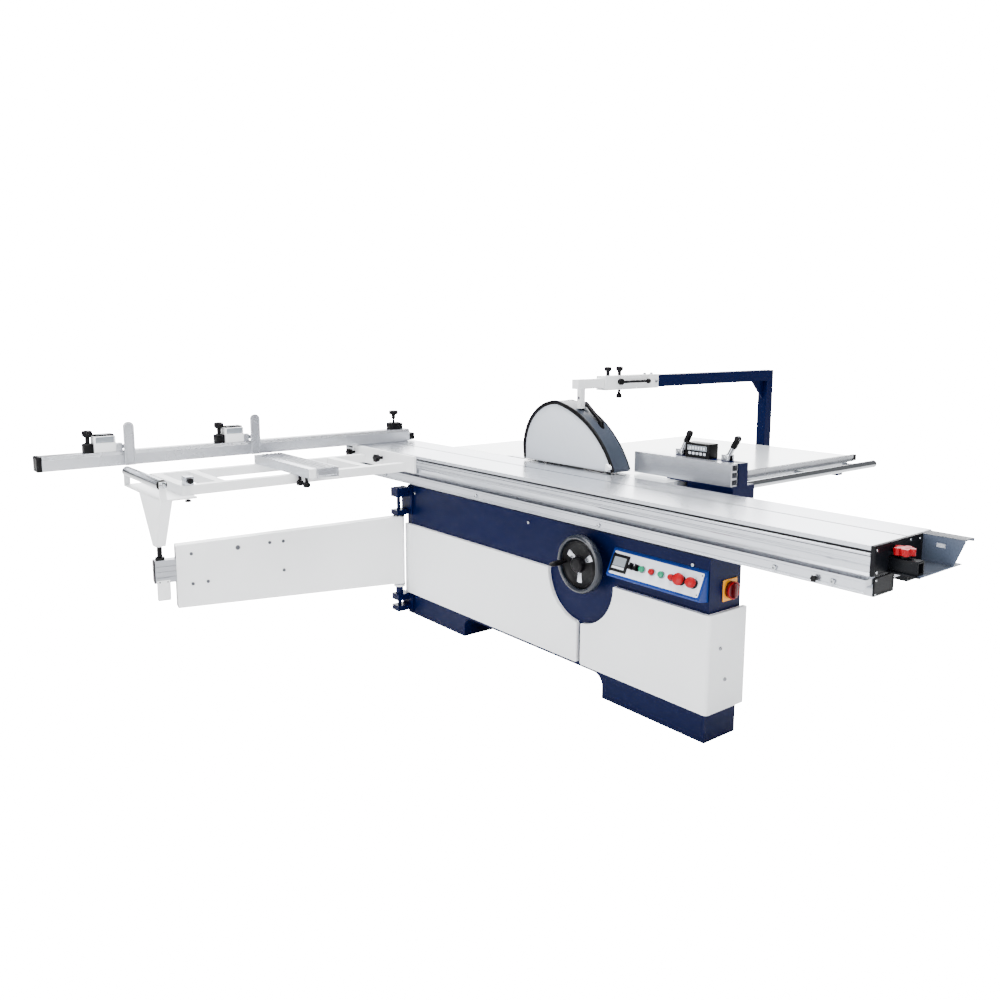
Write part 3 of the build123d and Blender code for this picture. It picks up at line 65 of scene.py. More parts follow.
UP: Point3 = (0, 0, 1)
UNDER: Point3 = (0, 0, -1)
FRONT: Point3 = (0, -1, 0)
BACK: Point3 = (0, 1, 0)
NEAR: Point3 = (1, 0, 0)
FAR: Point3 = (-1, 0, 0)
COAT_ROUGHNESS = 0.12
FINE_DETAIL = 3.0
WIDE_DETAIL = 4.0
WELD = 0.00002
LOBED_FROM = 0.7
SUNK_WALL = 0.0008
SHARP = math.radians(50)


# ------------------------------------------------------------------ finishes
class Texture(Enum):
    """How a finish's fine surface runs: its noise is stretched along one axis or none."""

    EVEN = (1.0, 1.0, 1.0)
    ALONG_X = (0.02, 1.0, 1.0)
    ALONG_Y = (1.0, 0.02, 1.0)
    ALONG_Z = (1.0, 1.0, 0.02)


def add_node(tree: bpy.types.NodeTree, kind: str, **inputs: float | Point3) -> bpy.types.Node:
    """A new shader node with some of its inputs set.

    Args:
        tree: the tree it goes in.
        kind: its type, without the prefix that all of them share.
        inputs: values by input name, with an underscore for a space.

    Returns:
        The node.
    """
    made = tree.nodes.new("ShaderNode" + kind)
    for name, value in inputs.items():
        made.inputs[name.replace("_", " ")].default_value = value
    return made


@dataclass(frozen=True)
class Finish:
    """One surface finish, made once as a node material and shared by its pieces."""

    name: str
    slot: str
    colour: Point3
    shade: Point3
    metallic: float = 0.0
    rough_low: float = 0.3
    rough_high: float = 0.42
    grain: float = 700.0
    texture: Texture = Texture.EVEN
    bump: float = 0.08
    relief: float = 0.0002
    coat: float = 0.0
    shine: float = 0.5
    broad: float = 3.0

    def material(self) -> bpy.types.Material:
        """The finish's material, built the first time it is asked for.

        Returns:
            The node material.
        """
        found = bpy.data.materials.get(self.name)
        if found:
            return found
        made = bpy.data.materials.new(self.name)
        made.use_nodes = True
        nodes, links = made.node_tree.nodes, made.node_tree.links
        shader = nodes["Principled BSDF"]
        shader.inputs["Metallic"].default_value = self.metallic
        shader.inputs["Specular IOR Level"].default_value = self.shine
        shader.inputs["Coat Weight"].default_value = self.coat
        shader.inputs["Coat Roughness"].default_value = COAT_ROUGHNESS
        tree = made.node_tree
        place = add_node(tree, "TexCoord")
        stretch = add_node(tree, "Mapping", Scale=self.texture.value)
        links.new(place.outputs["Object"], stretch.inputs["Vector"])
        fine = add_node(tree, "TexNoise", Scale=self.grain, Detail=FINE_DETAIL)
        links.new(stretch.outputs["Vector"], fine.inputs["Vector"])
        wide = add_node(tree, "TexNoise", Scale=self.broad, Detail=WIDE_DETAIL)
        links.new(place.outputs["Object"], wide.inputs["Vector"])
        tone = add_node(tree, "Mix")
        tone.data_type = "RGBA"
        tone.inputs["A"].default_value = (*self.colour, 1.0)
        tone.inputs["B"].default_value = (*self.shade, 1.0)
        blend = add_node(tree, "Math")
        blend.operation = "MULTIPLY"
        links.new(fine.outputs["Fac"], blend.inputs[0])
        links.new(wide.outputs["Fac"], blend.inputs[1])
        links.new(blend.outputs["Value"], tone.inputs["Factor"])
        links.new(tone.outputs["Result"], shader.inputs["Base Color"])
        gloss = add_node(tree, "MapRange", To_Min=self.rough_low, To_Max=self.rough_high)
        links.new(wide.outputs["Fac"], gloss.inputs["Value"])
        links.new(gloss.outputs["Result"], shader.inputs["Roughness"])
        relief = add_node(tree, "Bump", Strength=self.bump, Distance=self.relief)
        links.new(fine.outputs["Fac"], relief.inputs["Height"])
        links.new(relief.outputs["Normal"], shader.inputs["Normal"])
        return made


NAVY = Finish("navy_enamel", "blue_paint", (0.0001, 0.0018, 0.022), (0.0003, 0.004, 0.042),
              bump=0.1, shine=0.07)
ROYAL = Finish("royal_enamel", "blue_paint", (0.002, 0.018, 0.13), (0.004, 0.03, 0.17), bump=0.1,
               shine=0.15)
WHITE = Finish("white_powder_coat", "white_paint", (0.84, 0.85, 0.86), (0.76, 0.77, 0.785),
               rough_low=0.32, rough_high=0.44, grain=900.0, bump=0.16, shine=0.4)
COVER = Finish("light_grey_cover", "cover_paint", (0.8, 0.815, 0.83), (0.72, 0.735, 0.755),
               grain=900.0, bump=0.14, shine=0.4)
ALLOY = Finish("brushed_alloy_long", "aluminium", (0.52, 0.54, 0.585), (0.36, 0.378, 0.418),
               metallic=0.85, rough_low=0.2, rough_high=0.3, grain=900.0,
               texture=Texture.ALONG_X)
ALLOY_CROSS = Finish("brushed_alloy_cross", "aluminium", (0.56, 0.575, 0.61), (0.4, 0.415, 0.45),
                     metallic=0.8, rough_low=0.22, rough_high=0.32, grain=900.0,
                     texture=Texture.ALONG_Y)
ALLOY_DARK = Finish("ribbed_beam_alloy", "aluminium", (0.3, 0.31, 0.335), (0.2, 0.21, 0.23),
                    metallic=0.8, rough_low=0.26, rough_high=0.38, grain=800.0,
                    texture=Texture.ALONG_Y, bump=0.12)
IRON = Finish("ground_table", "table_iron", (0.7, 0.725, 0.75), (0.62, 0.645, 0.68),
              metallic=0.25, rough_low=0.16, rough_high=0.26, grain=500.0,
              texture=Texture.ALONG_X, bump=0.05, coat=0.3)
CASTING = Finish("machine_casting", "table_iron", (0.12, 0.13, 0.145), (0.08, 0.09, 0.1),
                 metallic=0.4, rough_low=0.5, rough_high=0.65, grain=160.0, bump=0.5,
                 relief=0.0006)
CHROME = Finish("polished_bar", "chrome", (0.46, 0.475, 0.5), (0.34, 0.355, 0.38), metallic=1.0,
                rough_low=0.08, rough_high=0.16, texture=Texture.ALONG_Y, bump=0.04)
STEEL = Finish("turned_steel", "steel", (0.3, 0.31, 0.33), (0.2, 0.21, 0.225), metallic=0.95,
               rough_low=0.22, rough_high=0.34, grain=600.0, bump=0.12)
# blackened steel for bolts; also the painted shade under the table's edge bead and on its
# T-slot's floor
DARK_STEEL_AND_SHADE = Finish("blackened_steel_and_painted_shade", "steel", (0.09, 0.095, 0.105), (0.06, 0.063, 0.07),
                    metallic=0.9, rough_low=0.26, rough_high=0.38, grain=600.0, bump=0.12)
BLACK = Finish("black_moulding", "black_plastic", (0.0015, 0.0015, 0.002),
               (0.004, 0.004, 0.0055), rough_high=0.44, grain=900.0, bump=0.16, shine=0.11)
# black plates and caps; also the painted shade in the sliding table's side groove
SATIN_BLACK_AND_SHADE = Finish("black_plate_and_painted_shade", "black_plastic", (0.002, 0.0025, 0.004),
                     (0.005, 0.0055, 0.008), rough_low=0.4, rough_high=0.52, grain=800.0,
                     bump=0.16, shine=0.1)
RIM_GREY = Finish("wheel_rim_moulding", "black_plastic", (0.006, 0.0085, 0.014),
                  (0.012, 0.016, 0.026), rough_low=0.22, rough_high=0.32, grain=800.0, bump=0.12,
                  shine=0.4)
SLATE = Finish("slate_moulding", "slate_plastic", (0.075, 0.095, 0.14), (0.055, 0.07, 0.105),
               rough_low=0.26, rough_high=0.4, grain=800.0, bump=0.14, shine=0.4)
SLATE_DARK = Finish("slate_plate", "slate_plastic", (0.028, 0.034, 0.046), (0.02, 0.024, 0.033),
                    rough_high=0.45, grain=800.0, bump=0.14, shine=0.35)
HOOD_SHELL = Finish("hood_shell", "slate_plastic", (0.03, 0.037, 0.053), (0.02, 0.026, 0.038),
                    rough_low=0.26, rough_high=0.4, grain=800.0, bump=0.14, shine=0.3)
PALE_SLATE = Finish("pale_slate_panel", "slate_plastic", (0.6, 0.635, 0.69), (0.48, 0.51, 0.565),
                    rough_low=0.24, rough_high=0.36, grain=800.0, bump=0.1)
FOIL = Finish("panel_foil_white", "panel_foil", (0.74, 0.78, 0.85), (0.66, 0.7, 0.78),
              rough_low=0.25, rough_high=0.35, grain=900.0, bump=0.05, shine=0.4)
SCREEN = Finish("display_grey", "panel_foil", (0.2, 0.225, 0.25), (0.15, 0.17, 0.195),
                rough_low=0.12, rough_high=0.2, grain=600.0, bump=0.03, coat=0.4)
RED = Finish("red_moulding", "red_plastic", (0.3, 0.0008, 0.006), (0.2, 0.0005, 0.004),
             rough_low=0.28, rough_high=0.4, shine=0.16)
DARK_RED = Finish("dark_red_moulding", "red_plastic", (0.075, 0.001, 0.003),
                  (0.05, 0.0008, 0.002), rough_low=0.26, rough_high=0.36, shine=0.3)
GREEN = Finish("green_moulding", "green_plastic", (0.002, 0.2, 0.1), (0.0015, 0.15, 0.075),
               rough_low=0.24, rough_high=0.34, shine=0.35)
YELLOW = Finish("yellow_plate", "red_plastic", (0.78, 0.3, 0.002), (0.66, 0.24, 0.002),
                rough_low=0.32, bump=0.06, shine=0.3)
MOTOR = Finish("motor_enamel", "motor_paint", (0.06, 0.07, 0.085), (0.04, 0.048, 0.06),
               rough_low=0.4, rough_high=0.55, grain=300.0, bump=0.3)
RUBBER = Finish("belt_rubber", "belt_rubber", (0.008, 0.008, 0.008), (0.014, 0.014, 0.014),
                rough_low=0.6, rough_high=0.75, grain=600.0, bump=0.35, shine=0.3)


# ------------------------------------------------------------------ the bench
class Axis3(Enum):
    """The way a turned piece stands, as the turn that brings +Z there."""

    X = Matrix.Rotation(math.radians(90), 4, "Y")
    MINUS_X = Matrix.Rotation(math.radians(-90), 4, "Y")
    MINUS_Y = Matrix.Rotation(math.radians(90), 4, "X")
    Y = Matrix.Rotation(math.radians(-90), 4, "X")
    Z = Matrix.Identity(4)
    MINUS_Z = Matrix.Rotation(math.radians(180), 4, "X")


class Bench:
    """Makes pieces with the modelling operators and hands them over finished."""

    @staticmethod
    def clear_selection() -> None:
        """Leave nothing selected, the frame's nodes included."""
        bpy.ops.object.select_all(action="DESELECT")

    @staticmethod
    def edit(all_selected: bool = True) -> bmesh.types.BMesh:
        """Enter edit mode on the active piece.

        Args:
            all_selected: whether everything is selected on entry.

        Returns:
            The piece's edit mesh.
        """
        bpy.ops.object.mode_set(mode="EDIT")
        bpy.ops.mesh.select_all(action="SELECT" if all_selected else "DESELECT")
        return bmesh.from_edit_mesh(bpy.context.edit_object.data)

    @staticmethod
    def hand_over(name: str, finish: Finish, body: str, turn: Matrix | None = None,
                  smooth: float = 35.0) -> bpy.types.Object:
        """Name the active piece, place it, dress it and let it ride on its body.

        Args:
            name: the piece's name.
            finish: what it is made of.
            body: the body it moves with.
            turn: where it goes, applied to its mesh.
            smooth: edges flatter than this many degrees are shaded smooth.

        Returns:
            The finished piece.
        """
        if bpy.context.mode != "OBJECT":
            bpy.ops.object.mode_set(mode="OBJECT")
        piece = bpy.context.object
        piece.name = name
        if turn is not None:
            piece.matrix_world = turn @ piece.matrix_world
        bpy.ops.object.transform_apply(location=True, rotation=True, scale=True)
        bpy.ops.object.shade_smooth_by_angle(angle=math.radians(smooth))
        piece.data.materials.clear()
        piece.data.materials.append(finish.material())
        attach(piece, body)
        log.info("%s: %d faces on %s", name, len(piece.data.polygons), body)
        return piece

    @classmethod
    def turned(cls, name: str, finish: Finish, body: str, at: Point3, way: Axis3 | Matrix,
               rings: list[Point2], lobes: int = 0, depth: float = 0.0, segments: int = 40,
               hollow: bool = False) -> bpy.types.Object:
        """A turned piece: a circle extruded and resized from ring to ring.

        Args:
            name: the piece's name.
            finish: what it is made of.
            body: the body it moves with.
            at: the middle of its foot.
            way: which way it stands.
            rings: (radius, height) of each ring from the foot up.
            lobes: how many finger lobes its wide rings have.
            depth: how deep the lobes are, as a share of the radius.
            segments: sides of the circle.
            hollow: whether the last ring closes on the first, as on a wheel's rim.

        Returns:
            The finished piece.
        """
        cls.clear_selection()
        first, foot = rings[0]
        bpy.ops.mesh.primitive_circle_add(vertices=segments, radius=first,
                                          fill_type="NOTHING" if hollow else "NGON",
                                          location=(0, 0, foot))
        cls.edit()
        if not hollow:
            bpy.ops.mesh.flip_normals()
        radius, height = first, foot
        for wide, tall in rings[1:]:
            bpy.ops.mesh.extrude_region_move(
                TRANSFORM_OT_translate={"value": (0, 0, tall - height)})
            ratio = wide / radius
            bpy.ops.transform.resize(value=(ratio, ratio, 1), center_override=(0, 0, tall))
            radius, height = wide, tall
        bpy.ops.mesh.select_all(action="SELECT")
        bpy.ops.mesh.remove_doubles(threshold=WELD)
        bpy.ops.mesh.normals_make_consistent(inside=False)
        mesh = bmesh.from_edit_mesh(bpy.context.edit_object.data)
        if lobes:
            widest = max(r for r, _ in rings)
            for vert in mesh.verts:
                reach = math.hypot(vert.co.x, vert.co.y)
                if reach > widest * LOBED_FROM:
                    angle = math.atan2(vert.co.y, vert.co.x)
                    wave = 1 - depth * (0.5 - 0.5 * math.cos(lobes * angle))
                    vert.co.x *= wave
                    vert.co.y *= wave
            bmesh.update_edit_mesh(bpy.context.edit_object.data)
        turn = way.value if isinstance(way, Axis3) else way
        return cls.hand_over(name, finish, body, Matrix.Translation(at) @ turn)

    @classmethod
    def block(cls, name: str, finish: Finish, body: str, low: Point3, high: Point3,
              bevel: float = 0.002, inset: float = 0.0, sink: float = 0.0,
              face: Point3 = UP, turn: Matrix | None = None) -> bpy.types.Object:
        """A box with bevelled edges, and one face inset and sunk where asked.

        Args:
            name: the piece's name.
            finish: what it is made of.
            body: the body it moves with.
            low: its lowest corner.
            high: its highest corner.
            bevel: width of the rounded edges.
            inset: border left round the sunk face.
            sink: how deep the face is sunk, or negative to raise it.
            face: the outward way of that face.
            turn: a further placement.

        Returns:
            The finished piece.
        """
        cls.clear_selection()
        low_v, high_v = Vector(low), Vector(high)
        bpy.ops.mesh.primitive_cube_add(size=1, location=(low_v + high_v) / 2)
        piece = bpy.context.object
        piece.scale = high_v - low_v
        bpy.ops.object.transform_apply(location=True, rotation=True, scale=True)
        cls.edit()
        bpy.ops.mesh.bevel(offset=bevel, segments=3, affect="EDGES")
        if inset:
            mesh = cls.edit(all_selected=False)
            outward = Vector(face)
            mesh.faces.ensure_lookup_table()
            facing = [f for f in mesh.faces if f.normal.dot(outward) > 0.99]
            best = max(facing, key=lambda f: f.calc_area())
            best.select = True
            bmesh.update_edit_mesh(piece.data)
            bpy.ops.mesh.inset(thickness=inset, depth=0)
            bpy.ops.mesh.inset(thickness=SUNK_WALL, depth=-sink)
        return cls.hand_over(name, finish, body, turn)

    @classmethod
    def blocks(cls, body: str, *rows: tuple) -> None:
        """Several blocks that move with one body.

        Args:
            body: the body they move with.
            rows: for each, its name, its finish, and what block takes after the body.
        """
        for name, finish, *sizes in rows:
            cls.block(name, finish, body, *sizes)

    @classmethod
    def plate(cls, name: str, finish: Finish, body: str, outline: list[Point2], thick: float,
              place: Matrix, bevel: float = 0.001, window: list[Point2] | None = None,
              smooth: float = 35.0) -> bpy.types.Object:
        """A flat shape with a thickness, and a window through it where asked.

        Args:
            name: the piece's name.
            finish: what it is made of.
            body: the body it moves with.
            outline: its corners in its own plane, anticlockwise.
            thick: how far it is extruded along its own +Z.
            place: brings its plane into the object.
            bevel: width of its rounded rim.
            window: corners of the opening, as many as the outline's.
            smooth: edges flatter than this many degrees are shaded smooth.

        Returns:
            The finished piece.
        """
        cls.clear_selection()
        count = len(outline)
        fill = "NOTHING" if window else "NGON"
        bpy.ops.mesh.primitive_circle_add(vertices=count, radius=1, fill_type=fill)
        piece = bpy.context.object
        for vert, (x, y) in zip(piece.data.vertices, outline):
            vert.co = (x, y, 0)
        if window:
            inner = piece.data.copy()
            for vert, (x, y) in zip(inner.vertices, window):
                vert.co = (x, y, 0)
            other = bpy.data.objects.new(name + "_window", inner)
            bpy.context.collection.objects.link(other)
            other.select_set(True)
            piece.select_set(True)
            bpy.context.view_layer.objects.active = piece
            bpy.ops.object.join()
            cls.edit()
            bpy.ops.mesh.bridge_edge_loops()
        else:
            cls.edit()
        bpy.ops.mesh.select_all(action="SELECT")
        bpy.ops.mesh.extrude_region_move(TRANSFORM_OT_translate={"value": (0, 0, thick)})
        bpy.ops.mesh.select_all(action="SELECT")
        bpy.ops.mesh.normals_make_consistent(inside=False)
        bpy.ops.mesh.select_all(action="DESELECT")
        bpy.ops.mesh.edges_select_sharp(sharpness=SHARP)
        bpy.ops.mesh.bevel(offset=bevel, segments=2, affect="EDGES")
        return cls.hand_over(name, finish, body, place, smooth)

def plane_at(origin: Point3, right: Point3, up: Point3) -> Matrix:
    """The placement of a plane whose own X and Y run along right and up.

    Args:
        origin: where its middle goes.
        right: the way of its own +X.
        up: the way of its own +Y.

    Returns:
        The placement.
    """
    x_way, y_way = Vector(right).normalized(), Vector(up).normalized()
    z_way = x_way.cross(y_way)
    placed = Matrix((x_way, y_way, z_way)).transposed().to_4x4()
    placed.translation = origin
    return placed


def star_knob(name: str, body: str, at: Point3, way: Axis3, radius: float, height: float,
              finish: Finish = BLACK, lobes: int = 6) -> bpy.types.Object:
    """A lobed hand knob on a short hub.

    Args:
        name: the piece's name.
        body: the body it moves with.
        at: the foot of its hub.
        way: which way it stands.
        radius: its reach.
        height: hub and head together.
        finish: what it is made of.
        lobes: how many finger lobes it has.

    Returns:
        The finished piece.
    """
    hub, head = radius * 0.42, height * 0.45
    rings = [(hub, 0), (hub, head), (radius * 0.86, head + 0.1 * height),
             (radius, head + 0.2 * height), (radius, height * 0.88),
             (radius * 0.88, height * 0.97), (radius * 0.5, height), (radius * 0.1, height)]
    return Bench.turned(name, finish, body, at, way, rings, lobes=lobes, depth=0.24,
                        segments=60)


def bolt_head(name: str, body: str, at: Point3, way: Axis3 | Matrix, radius: float = 0.006,
              tall: float = 0.004, finish: Finish = STEEL) -> bpy.types.Object:
    """A round screw head with a socket in it.

    Args:
        name: the piece's name.
        body: the body it moves with.
        at: where it meets the surface.
        way: which way it stands out.
        radius: its reach.
        tall: how far it stands out.
        finish: what it is made of.

    Returns:
        The finished piece.
    """
    rings = [(radius, 0), (radius, tall * 0.6), (radius * 0.8, tall), (radius * 0.45, tall),
             (radius * 0.42, tall * 0.45), (radius * 0.05, tall * 0.4)]
    return Bench.turned(name, finish, body, at, way, rings, segments=24)


@dataclass
class Assembly:
    """A sub-assembly, built round the frame's nodes."""

    nodes: dict[str, bpy.types.Object]

    def dress(self, finish: Finish, *names: str) -> None:
        """Give frame nodes a finish.

        Args:
            finish: what they are made of.
            names: which nodes.
        """
        for name in names:
            node = self.nodes[name]
            node.data.materials.clear()
            node.data.materials.append(finish.material())
            log.info("%s dressed in %s", name, finish.name)


# ------------------------------------------------------------------ cabinet
@dataclass
class Cabinet(Assembly):
    """The blue cabinet with its pale covers, its controls' panel and its main switch."""

    front: float = -0.36
    near_end: float = 1.15
    table_edge: float = -0.389
    panel_middle: Point3 = (0.914, -0.389, 0.606)
    panel_up: Point3 = (0.0, 0.4248, 0.9053)

    def build(self) -> None:
        """Dress the sheet metal and add its screws and fittings."""
        self.dress(NAVY, "cabinet_body", "arm_hinge", "extension_frame")
        self.dress(COVER, "left_cover", "right_cover")
        self.dress(ROYAL, "control_panel")
        self.dress(FOIL, "panel_face")
        self.dress(STEEL, "fixing_bolts")
        self.screws()
        self.panel()
        self.main_switch()

    def screws(self) -> None:
        """Round heads along the top band, the covers and the rail's skirt."""
        for count, x in enumerate((-0.769, 0.152, 1.073)):
            bolt_head(f"band_screw_{count}", "machine", (x, self.front, 0.667), Axis3.MINUS_Y,
                      0.0075, 0.006, CHROME)
        for count, (y, z) in enumerate(((-0.309, 0.363), (-0.275, 0.237))):
            bolt_head(f"cover_screw_{count}", "machine", (1.168, y, z), Axis3.X, 0.0075, 0.005)
        for count, x in enumerate((-1.015, -0.2, 0.615, 1.43, 1.64)):
            bolt_head(f"skirt_bolt_{count}", "machine", (x, self.table_edge, 0.739),
                      Axis3.MINUS_Y, 0.0095, 0.008, CHROME)

    def on_panel(self, x: float, up: float, out: float) -> Point3:
        """A point on the sloping panel.

        Args:
            x: along the panel from its middle.
            up: up its slope.
            out: out of it.

        Returns:
            The point in the frame.
        """
        rise = Vector(self.panel_up)
        outward = Vector((0, -rise.z, rise.y))
        return tuple(Vector(self.panel_middle) + Vector((x, 0, 0)) + rise * up + outward * out)

    def panel(self) -> None:
        """The display, the buttons' collars and caps, the selectors and the stop heads."""
        upright = plane_at((0, 0, 0), (1, 0, 0), self.panel_up)
        turn = Matrix.Translation(self.panel_middle) @ upright
        Bench.blocks("machine",
            ("display_bezel", BLACK, (-0.221, -0.036, 0.0), (-0.133, 0.036, 0.006), 0.003, 0.009,
             0.002, UP, turn),
            ("display_glass", SCREEN, (-0.209, -0.012, 0.001), (-0.145, 0.026, 0.0055), 0.001,
             0.002, 0.0006, UP, turn),
            ("display_keys", PALE_SLATE, (-0.209, -0.027, 0.001), (-0.145, -0.015, 0.006), 0.001,
             0.001, 0.0005, UP, turn))
        for count, x in enumerate((-0.216, 0.213)):
            for up in (-0.037, 0.037):
                bolt_head(f"panel_screw_{count}_{'low' if up < 0 else 'top'}", "machine",
                          self.on_panel(x, up, 0), upright, 0.0028, 0.0016, BLACK)
        self.dress(STEEL, "button_bezels")
        buttons = (("green_button_a", "green_a", -0.057, GREEN),
                   ("red_button_a", "red_a", -0.009, RED),
                   ("green_button_b", "green_b", 0.038, GREEN),
                   ("red_button_b", "red_b", 0.086, RED))
        for node, body, x, finish in buttons:
            self.dress(finish, node)
            Bench.turned(node + "_collar", CHROME, "machine", self.on_panel(x, 0, 0.0002),
                         upright, [(0.0144, 0), (0.0144, 0.004), (0.0138, 0.0062),
                                   (0.0122, 0.0062), (0.0122, 0.0048)], segments=36,
                         hollow=True)
            Bench.turned(node + "_cap", finish, body, self.on_panel(x, 0, 0.0098), upright,
                         [(0.0118, 0), (0.0118, 0.0045), (0.0104, 0.007), (0.006, 0.0078),
                          (0.0008, 0.008)], segments=32)
        for node, body, x, wide in (("stop_button", "stop_push", 0.130, 0.0235),
                                    ("emergency_stop", "emergency", 0.186, 0.0205)):
            self.dress(RED, node)
            Bench.turned(node + "_collar", BLACK, "machine", self.on_panel(x, 0, 0.0002),
                         upright, [(0.019, 0), (0.019, 0.004), (0.0165, 0.0085),
                                   (0.0115, 0.0085), (0.0115, 0)], segments=36, hollow=True)
            Bench.turned(node + "_cap", RED, body, self.on_panel(x, 0, 0.0145), upright,
                         [(wide * 0.7, 0), (wide, 0.005), (wide, 0.010), (wide * 0.9, 0.0145),
                          (wide * 0.55, 0.018), (wide * 0.05, 0.0192)], segments=40)
        for node, body, x in (("selector_a", "turn_a", -0.112), ("selector_b", "turn_b", -0.084)):
            self.dress(BLACK, node)
            Bench.turned(node + "_collar", BLACK, "machine", self.on_panel(x, 0, 0.0002),
                         upright, [(0.0136, 0), (0.0136, 0.0035), (0.013, 0.0052),
                                   (0.0112, 0.0052), (0.0112, 0.004)], segments=36,
                         hollow=True)
            grip = Matrix.Translation(self.on_panel(x, 0, 0)) @ upright
            Bench.blocks(body,
                (node + "_grip", BLACK, (-0.005, -0.0138, 0.0068), (0.005, 0.0138, 0.0235),
                 0.002, 0.001, -0.001, UP, grip),
                (node + "_mark", FOIL, (-0.0012, 0.003, 0.0232), (0.0012, 0.0122, 0.0249),
                 0.0004, 0.0003, -0.0001, UP, grip))

    def main_switch(self) -> None:
        """The yellow plate and the dark red turning knob on the near end."""
        y, z = -0.245, 0.572
        Bench.block("switch_plate", YELLOW, "machine", (self.near_end, y - 0.041, z - 0.041),
                    (self.near_end + 0.0046, y + 0.041, z + 0.041), 0.0015, 0.004, 0.0004, NEAR)
        self.dress(DARK_RED, "main_switch")
        start = self.near_end + 0.0055
        Bench.turned("switch_dial", DARK_RED, "mains", (start, y, z), Axis3.X,
                     [(0.0315, 0), (0.0315, 0.014), (0.0285, 0.0165), (0.022, 0.0165),
                      (0.02, 0.0145), (0.002, 0.0145)], segments=56)
        Bench.turned("switch_rim", RED, "mains", (start, y, z), Axis3.X,
                     [(0.031, 0.0125), (0.0335, 0.0125), (0.0335, 0.0165), (0.031, 0.0175),
                      (0.0285, 0.0165), (0.0285, 0.0125)], segments=56, hollow=True)
        Bench.block("switch_grip", DARK_RED, "mains", (start + 0.009, y - 0.0075, z - 0.0255),
                    (start + 0.0275, y + 0.0075, z + 0.0255), 0.003, 0.002, -0.0008, NEAR)


# ------------------------------------------------------------------ handwheel
@dataclass
class Handwheel(Assembly):
    """The height handwheel: a grey rim, a black disc, three bright spokes and a grip."""

    x: float = 0.538
    z: float = 0.566
    face: float = -0.425
    reach: float = 0.122

    def build(self) -> None:
        """Turn the rim, disc, hub and grip and set the spokes."""
        at = (self.x, self.face + 0.038, self.z)
        rim = [(self.reach - 0.019, 0.016), (self.reach - 0.006, 0.013),
               (self.reach, 0.019), (self.reach, 0.036), (self.reach - 0.003, 0.043),
               (self.reach - 0.010, 0.046), (self.reach - 0.0165, 0.044),
               (self.reach - 0.019, 0.038), (self.reach - 0.019, 0.016)]
        piece = Bench.turned("wheel_rim", RIM_GREY, "wheel", at, Axis3.MINUS_Y, rim, segments=72,
                             hollow=True)
        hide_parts("handwheel")
        disc = [(0.02, 0.012), (self.reach - 0.018, 0.012), (self.reach - 0.018, 0.032),
                (self.reach - 0.026, 0.036), (self.reach - 0.030, 0.032), (0.06, 0.026),
                (0.034, 0.03), (0.032, 0.05), (0.026, 0.055), (0.012, 0.056), (0.001, 0.056)]
        Bench.turned("wheel_disc", BLACK, "wheel", at, Axis3.MINUS_Y, disc, segments=64)
        shaft = [(0.022, -0.0265), (0.022, 0.012), (0.012, 0.013), (0.001, 0.013)]
        Bench.turned("wheel_boss", STEEL, "wheel", at, Axis3.MINUS_Y, shaft, segments=40)
        for count in range(3):
            angle = math.radians(270 + 120 * count)
            way = Vector((math.cos(angle), 0, math.sin(angle)))
            side = Vector((-math.sin(angle), 0, math.cos(angle)))
            place = plane_at((self.x, self.face + 0.012, self.z), tuple(side), tuple(way))
            if place.to_3x3() @ Vector((0, 0, 1)) @ Vector((0, -1, 0)) < 0:
                place = plane_at((self.x, self.face + 0.012, self.z), tuple(-side), tuple(way))
            outline = [(-0.009, 0.036), (0.009, 0.036), (0.017, 0.094), (-0.017, 0.094)]
            Bench.plate(f"wheel_spoke_{count}", ALLOY, "wheel", outline, 0.0035, place, 0.0012)
        grip_at = (self.x - 0.084, self.face + 0.012, self.z - 0.006)
        grip = [(0.006, 0), (0.006, 0.018), (0.0085, 0.020), (0.0118, 0.034), (0.0118, 0.066),
                (0.0095, 0.084), (0.005, 0.0905), (0.0006, 0.0915)]
        Bench.turned("wheel_grip", BLACK, "wheel", grip_at, Axis3.MINUS_Y, grip, segments=36)


